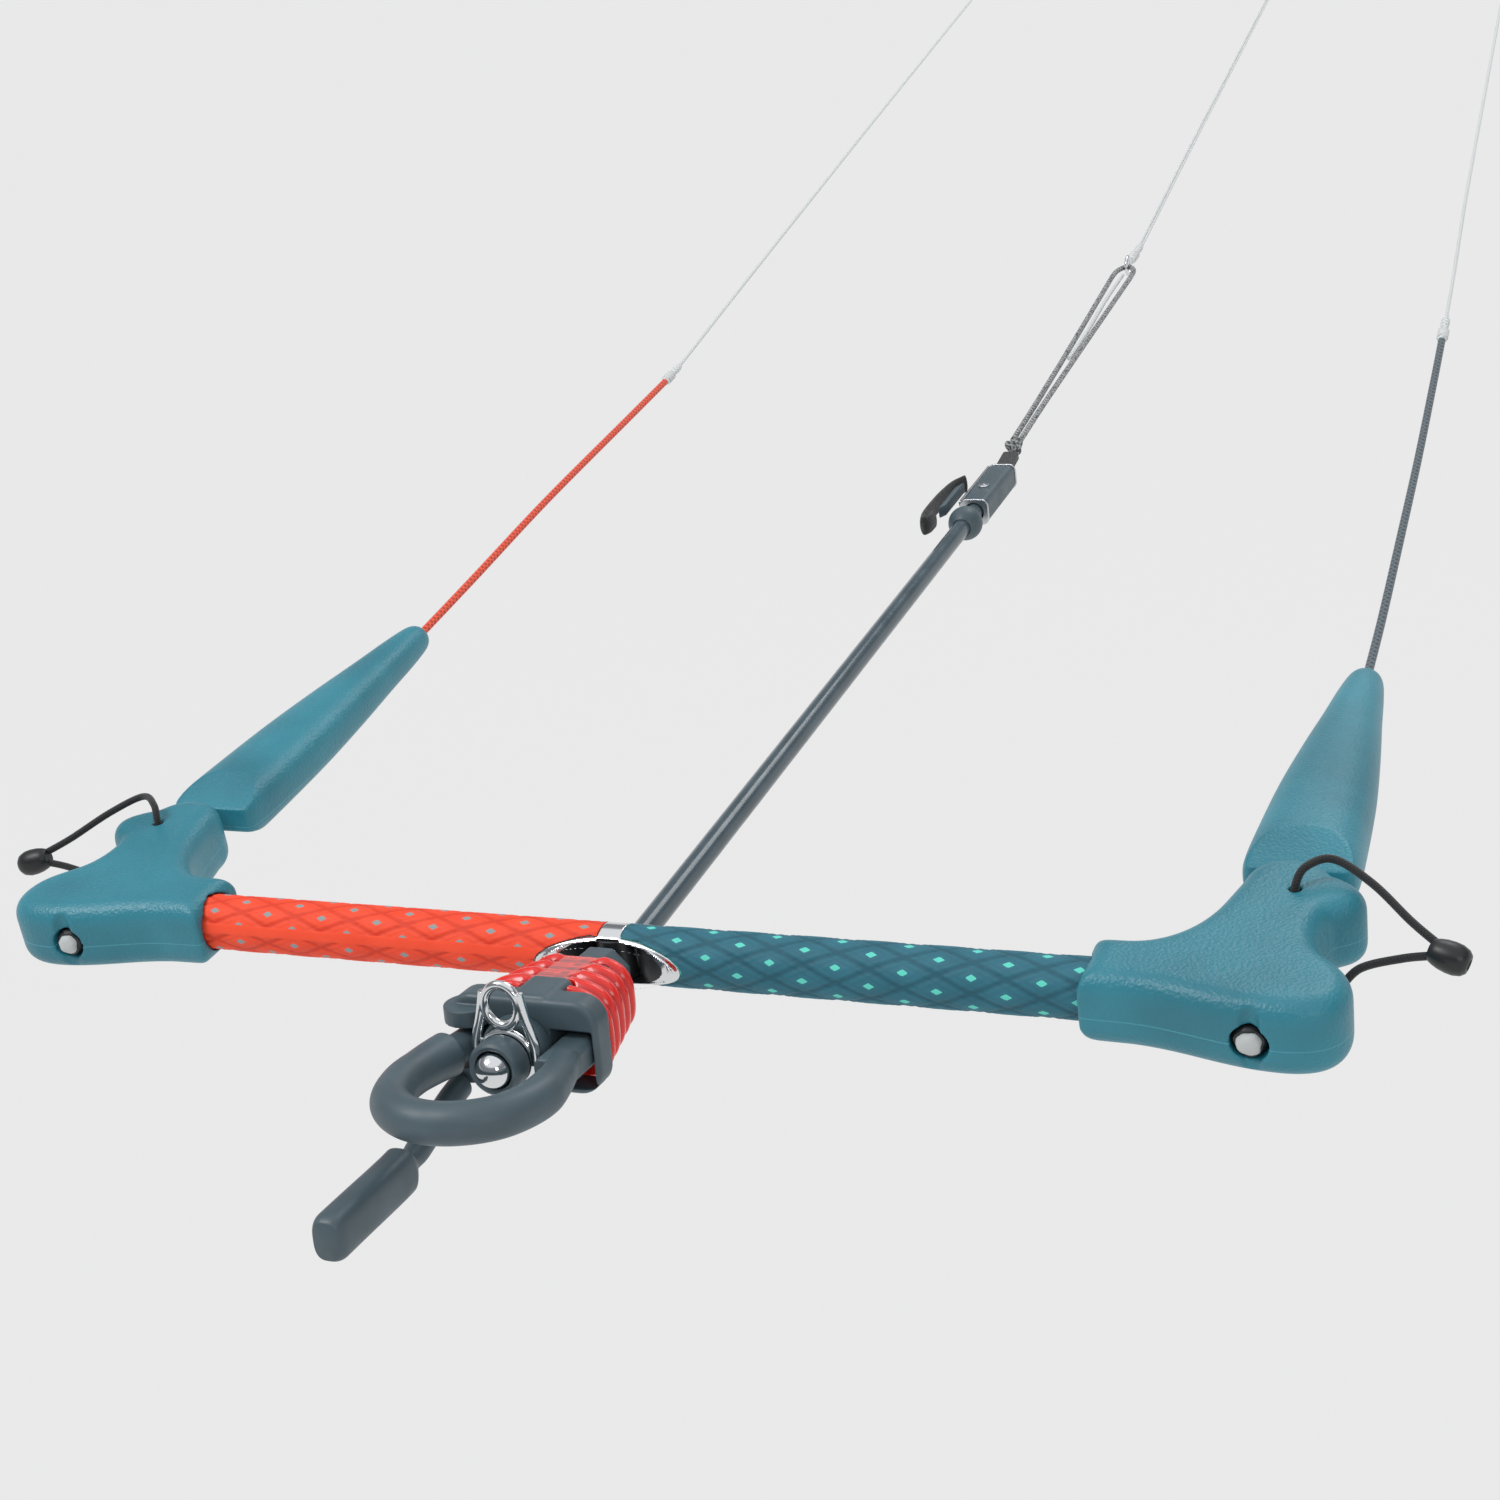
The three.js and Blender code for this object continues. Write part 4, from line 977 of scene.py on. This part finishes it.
# ---- trim loop ----
TRIM_LOOP = [(-2.3, 580, 6), (-2.6, 640, 10.5), (-4.2, 740, 17.8), (-6.2, 840, 25.2), (-6.6, 874, 27.8),
             (-4.4, 885, 28.7), (0, 889, 29), (4.4, 885, 28.7), (6.6, 874, 27.8), (6.2, 840, 25.2),
             (4.2, 740, 17.8), (2.6, 640, 10.5), (2.3, 580, 6)]
TRIM_SPLICE = [(0, 712, 15.8), (0.5, 760, 19.2), (-0.5, 820, 23.8), (0, 872, 27.6)]


def trim():
    stub = rounded_bar(0.3, 19.7, 9.5, 6, 1.8, 0.8)
    soften(stub, 0.3, 2, WEBBING, "webbing_tail")
    moved(stub, shift((0, CLEAT_FRONT + 0.5, 3 + TRUNK_Z)) @ Matrix.Rotation(0.12, 4, "X"))
    stands_for(stub, "depower_line", "black_webbing", "webbing_stub")
    rope = sweep("trim_rope", route(TRIM_LOOP, 1.6), 1.7, TRIM_ROPE, 16)
    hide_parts("trim_loop")
    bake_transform(rope, "depower_line", "front_lines", start=(0, 0.6, 0), end=(0, 0.86, 0))
    knot = []
    for i in range(120):
        turn = tau * i / 120
        knot.append((3.1 * sin(2 * turn), 572.8 + 3.24 * cos(turn), 4.4 + 2.7 * sin(3 * turn)))
    wad = sweep("trim_rope_knot", knot, 1.75, TRIM_ROPE, 14, closed=True)
    stands_for(wad, "depower_line", "grey_rope", "trim_knot")
    core = sweep("trim_inner_splice", route(TRIM_SPLICE, 3), 1.3, LINE, 12)
    stands_for(core, "front_lines", "white_line", "trim_splice")
    ring = [(0, 890.5 + 6 * c, 29.5 + 6 * s) for c, s in circle(72)]
    link = sweep("trim_link", ring, 1.3, STEEL, 20, closed=True)
    stands_for(link, "front_lines", "chrome", "trim_ring")


# ---- quick release ----
def release_head():
    sections = ((-36, 9.4, 9.4), (-27.6, 9.4, 9.4), (-26, 11.9, 11.9), (-14, 11.9, 11.9), (-9.8, 8, 9.4))
    rings = [oval(y, a, b, sides=8, start=pi / 8) for y, a, b in sections]
    verts, faces = rings_mesh(rings)
    head = piece("tube_head", verts, faces, SLATE)
    combine(head, [rod((0, -60, 0), (0, -12, 0), 3.3, 32)])
    soften(head, 0.3, 3, SLATE, "tube_head")
    moved(head, RELEASE)
    stands_for(head, "depower_line", "slate_plastic", "swivel_head")


def rib_groove(y):
    """How deep the groove between the finger ribs is at y: 0 on a rib, 1 in a groove."""
    return (0.5 - 0.5 * cos(tau * (y + 64.5) / 8.4)) ** 1.6


def sleeve_rings():
    """The sleeve's outside: a flared rounded form with ribs that fade out under the top panel."""
    rings = []
    for i in range(153):
        y = -66 + 38 * i / 152
        t = (y + 66) / 38
        a, b = 28.6 - 8.8 * t, 18.0 - 3.2 * t
        groove = rib_groove(y)
        edge = min(1.0, (y + 66) / 1.6, (-28 - y) / 1.6)
        lip = 1.1 * (1 - sqrt(max(0.0, 1 - (1 - edge) ** 2)))
        ring = []
        for x, _, z in oval(y, a, b, square=3.0, sides=176):
            top = z > 0 and abs(x) < 9.5
            blend = 1.0 if not top else max(0.0, min(1.0, (abs(x) - 7) / 2.5))
            depth = 3.0 * groove * blend + lip
            if top:
                depth += 1.5 * (1 - blend)
            reach = hypot(x, z)
            ring.append((x * (1 - depth / reach), y, z * (1 - depth / reach)))
        rings.append(ring)
    return rings


def release_sleeve():
    verts, faces = rings_mesh(sleeve_rings())
    shell = piece("tool", verts, faces, BLACK)
    inside = rounded_bar(-80, -14, 31, 25.4, 6, 0.2)
    ridge = rounded_bar(-80, -57.4, 18.4, 26, 4, 2.5, 3, 12.5)
    combine(shell, [inside, ridge])
    soften(shell, 0.44, 2, RED, "push_sleeve")
    layers = shell.data.attributes
    for label in ("mark", "painted_rib_light"):
        layers.new(label, "FLOAT", "POINT")
    for vert, mark, painted_rib_light in zip(shell.data.vertices, layers["mark"].data, layers["painted_rib_light"].data):
        x, y, z = vert.co / MM
        # Painted light and shade for the colour: full on the front edge and the ribs, none in the grooves.
        painted_rib_light.value = 1.0 if y < -64.5 else 1 - rib_groove(y)
        on_panel = z > 10 and -56 < y < -32
        square = abs(x - 3) < 1.5 and y % 5 < 2.8
        rail = abs(x + 3.4) < 2.6 and y % 2.5 < 0.9
        mark.value = 0.75 if on_panel and (square or rail) else 0.0
    moved(shell, RELEASE)
    stands_for(shell, "sleeve", "red_plastic", "release_sleeve")


def release_body():
    barrel = rounded_bar(-67, -36.6, 30, 23, 6.5, 1.0)
    front = rounded_bar(-78, -66.4, 57, 34, 9.0, 2.2)
    ridge = rounded_bar(-77.2, -58, 17, 14, 3.5, 2.0, 3, 11)
    ears = [rod((-20.5, -76, z), (-20.5, -76, z + 6), 9.2) for z in (7.2, -13.2)]
    combine(barrel, [front, ridge] + ears, "UNION")
    tools = [
        block((-30, -84, 0), (34, 30, 14)),
        block((18.6, -78, -4), (15.8, 26, 21.2)),
        rod((KNUCKLE_X, KNUCKLE_Y, -11.5), (KNUCKLE_X, KNUCKLE_Y, 11.5), 2.4, 32),
        rod((0, -62.5, 0), (0, -54, 0), 5.8),
        rod((0, -120, 0), (0, 0, 0), 3.5),
    ]
    combine(barrel, tools)
    soften(barrel, 0.36, 5, SLATE, "release_housing")
    moved(barrel, RELEASE)
    stands_for(barrel, "release", "slate_plastic", "release_body")


LOOP = [(-19.5, -71, 0), (-21.3, -86, 0), (-24.6, -101, 0), (-25.6, -116, 0), (-20.4, -131, 0),
        (-8.5, -139.4, 0), (6, -139.4, 0), (19, -131.5, 0), (25.4, -117, 0), (24.4, -101, 0),
        (21.2, -88, 0)]


def hook_loop():
    """The hook loop: thick moulded tube, thinner in the knuckle, squared off in the slot."""
    path = route(LOOP, 1.0)
    total = len(path) - 1

    def size(share):
        y = path[round(share * total)].y
        if share < 0.3 and y > -106:
            return 5.6 if y > -90 else 8.1 - 0.9 * (-90 - y) / 16
        if share > 0.7 and y > -112:
            return 7.2 - 1.9 * (112 + y) / 24
        return 7.2

    loop = sweep("tool", path, size, SLATE, 48)
    tongue = rounded_bar(-96, -68, 12.6, 11, 3.0, 1.0, 19.4, -1.6)
    combine(loop, [tongue], "UNION")
    combine(loop, [rod((KNUCKLE_X, KNUCKLE_Y, -30), (KNUCKLE_X, KNUCKLE_Y, 30), 3, 32)])
    soften(loop, 0.45, 6, SLATE, "hook_loop_tube")
    moved(loop, RELEASE)
    stands_for(loop, "hook_loop", "slate_plastic", "chicken_loop", "loop_cuff")


FINGER = [(-21.5, -86.8, -13.6), (-22, -95, -16), (-22, -106, -19.6), (-22, -117, -23.2), (-22, -128, -25.2),
          (-22, -140, -25.9), (-22, -158, -26.4), (-22, -174.6, -27)]


def finger():
    """The stiff finger: a round stem that swells into a long rounded tab."""
    rows = smooth_steps(FINGER, 180)
    rings = []
    for x, y, z in rows:
        grow = min(1.0, max(0.0, (-123.5 - y) / 5.0))
        grow = grow * grow * (3 - 2 * grow)
        tip = min(1.0, max(0.0, (y + 175) / 5.0))
        tip = sqrt(1 - (1 - tip) ** 2)
        pinch = 1 - 0.12 * exp(-((y + 122) / 3.0) ** 2)
        a = (4.5 * pinch + 1.6 * grow) * (0.55 + 0.45 * tip)
        b = (4.5 * pinch + 3.5 * grow) * (0.65 + 0.35 * tip)
        rings.append(oval(y, a, b, x, z, 2 + 0.9 * grow, 64))
    verts, faces = rings_mesh(rings)
    obj = piece("locking_finger", verts, faces, SLATE, RELEASE, 50)
    stands_for(obj, "finger", "slate_plastic", "finger_stem", "finger_tab")


def leash_parts():
    disc = [(4, -86.6), (10.6, -86.6), (11.6, -86.1), (12.2, -84.9), (12.2, -79.8), (11.6, -78.9),
            (10.8, -78.5), (4, -78.5)]
    collar = [(7, -99.6), (7.5, -100.0), (8.4, -100.1), (9.2, -99.5), (9.8, -98.2), (9.8, -92.4),
              (9.4, -91.4), (7.2, -91), (7.2, -87), (4, -87), (4, -91), (7, -94.5)]
    rounds = (("leash_backplate", disc, "leash_disc"), ("leash_cup", collar, "leash_collar"))
    for label, profile, node in rounds:
        turned = lathe(label, profile, SLATE, RELEASE, 72, closed=True)
        stands_for(turned, "release", "slate_plastic", node)
    ball = [(0, -105)] + [(6.4 * sin(radians(a)), -98.6 - 6.4 * cos(radians(a)))
                          for a in range(6, 157, 5)]
    ball += [(2.6, -92.6), (2.6, -70), (0, -70)]
    stands_for(lathe("leash_end_ball", ball, STEEL, RELEASE, 64), "release", "chrome", "leash_ball")
    band = [(9.4 * c, -89.2, 9.4 * s) for c, s in circle(96)]
    loop = [(6.3 * c, -89.6, 19.4 + 7.3 * s) for c, s in circle(96)]
    wire = sweep("tool", band, 1.6, STEEL, 20, closed=True)
    parts = [sweep("tool", loop, 1.7, STEEL, 20, closed=True)]
    for x in (11, -11):
        stem = route([(x * 0.6, -89.3, 24), (x * 0.78, -89.6, 15), (x, -89.6, 6), (x, -89.3, -1.5)], 0.8)
        parts.append(sweep("tool", stem, 1.7, STEEL, 20))
    combine(wire, parts, "UNION")
    soften(wire, 0.24, 3, STEEL, "leash_wire_eye")
    moved(wire, RELEASE)
    stands_for(wire, "leash", "chrome", "leash_ring")


def inner_parts():
    """Parts that sit inside others keep their shape and get their own finish."""
    looks = {
        "bar_tube_left": ALLOY, "bar_tube_right": ALLOY, "leader_end_left": LEADER_RED,
        "leader_end_right": LEADER_SLATE, "swivel_stud": ALLOY, "sleeve_spring": STEEL,
        "loop_pivot": BRUSHED, "latch_pin": BRUSHED,
    }
    for node, mat in looks.items():
        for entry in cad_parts[node].material_slots:
            entry.material = mat


for side, name in ((-1, "left"), (1, "right")):
    grip(side, name)
    bar_end(side, name)
    float_piece(side, name)
    bungee(side, name)
centre_insert()
depower_tube()
cleat()
jaw()
strap_pull()
trim()
release_head()
release_sleeve()
release_body()
hook_loop()
finger()
leash_parts()
inner_parts()


# ---- studio ----
def studio():
    """A pale floor well below the bar, an even white surround and three soft lamps."""
    mesh = bpy.data.meshes.new("floor")
    size, level = 80.0, -0.75
    corners = [(-size, -size, level), (size, -size, level), (size, size, level), (-size, size, level)]
    mesh.from_pydata(corners, [], [(0, 1, 2, 3)])
    mat, _, _ = material("matt_paper_floor", Roughness=1.0, Emission_Strength=0.97,
                         Base_Color=colour("2a2a2a"), Emission_Color=colour("eaeaea"),
                         Specular_IOR_Level=0.0)
    floor = new_object("floor", mesh, mat)
    world = bpy.data.worlds.new("surround")
    bpy.context.scene.world = world
    world.use_nodes = True
    tree = world.node_tree
    height = add(tree, "SeparateXYZ", {0: add(tree, "TexCoord").outputs["Generated"]}).outputs[2]
    tones = ((0.0, "eaeaea"), (0.1, "eaeaea"), (0.3, "7d8084"), (0.62, "8d9094"), (0.72, "f4f6f8"),
             (1.0, "f4f6f8"))
    stops = [(place, colour(tone)) for place, tone in tones]
    tree.links.new(ramp(tree, height, stops), tree.nodes["Background"].inputs[0])
    lamps = (((-0.8, -0.5, 1.5), 0.6, 14), ((1.3, -1.2, 1.0), 0.5, 4), ((0.3, 1.7, 1.4), 0.9, 9))
    for number, (place, size, power) in enumerate(lamps):
        light = bpy.data.lights.new(f"softbox_{number}", "AREA")
        light.energy = power
        light.size = size
        lamp = new_object(f"softbox_{number}", light)
        lamp.location = place
        aim = Vector((0, 0.15, 0)) - Vector(place)
        lamp.rotation_euler = aim.to_track_quat("-Z", "Y").to_euler()
    bpy.context.scene.view_settings.view_transform = "Standard"


studio()
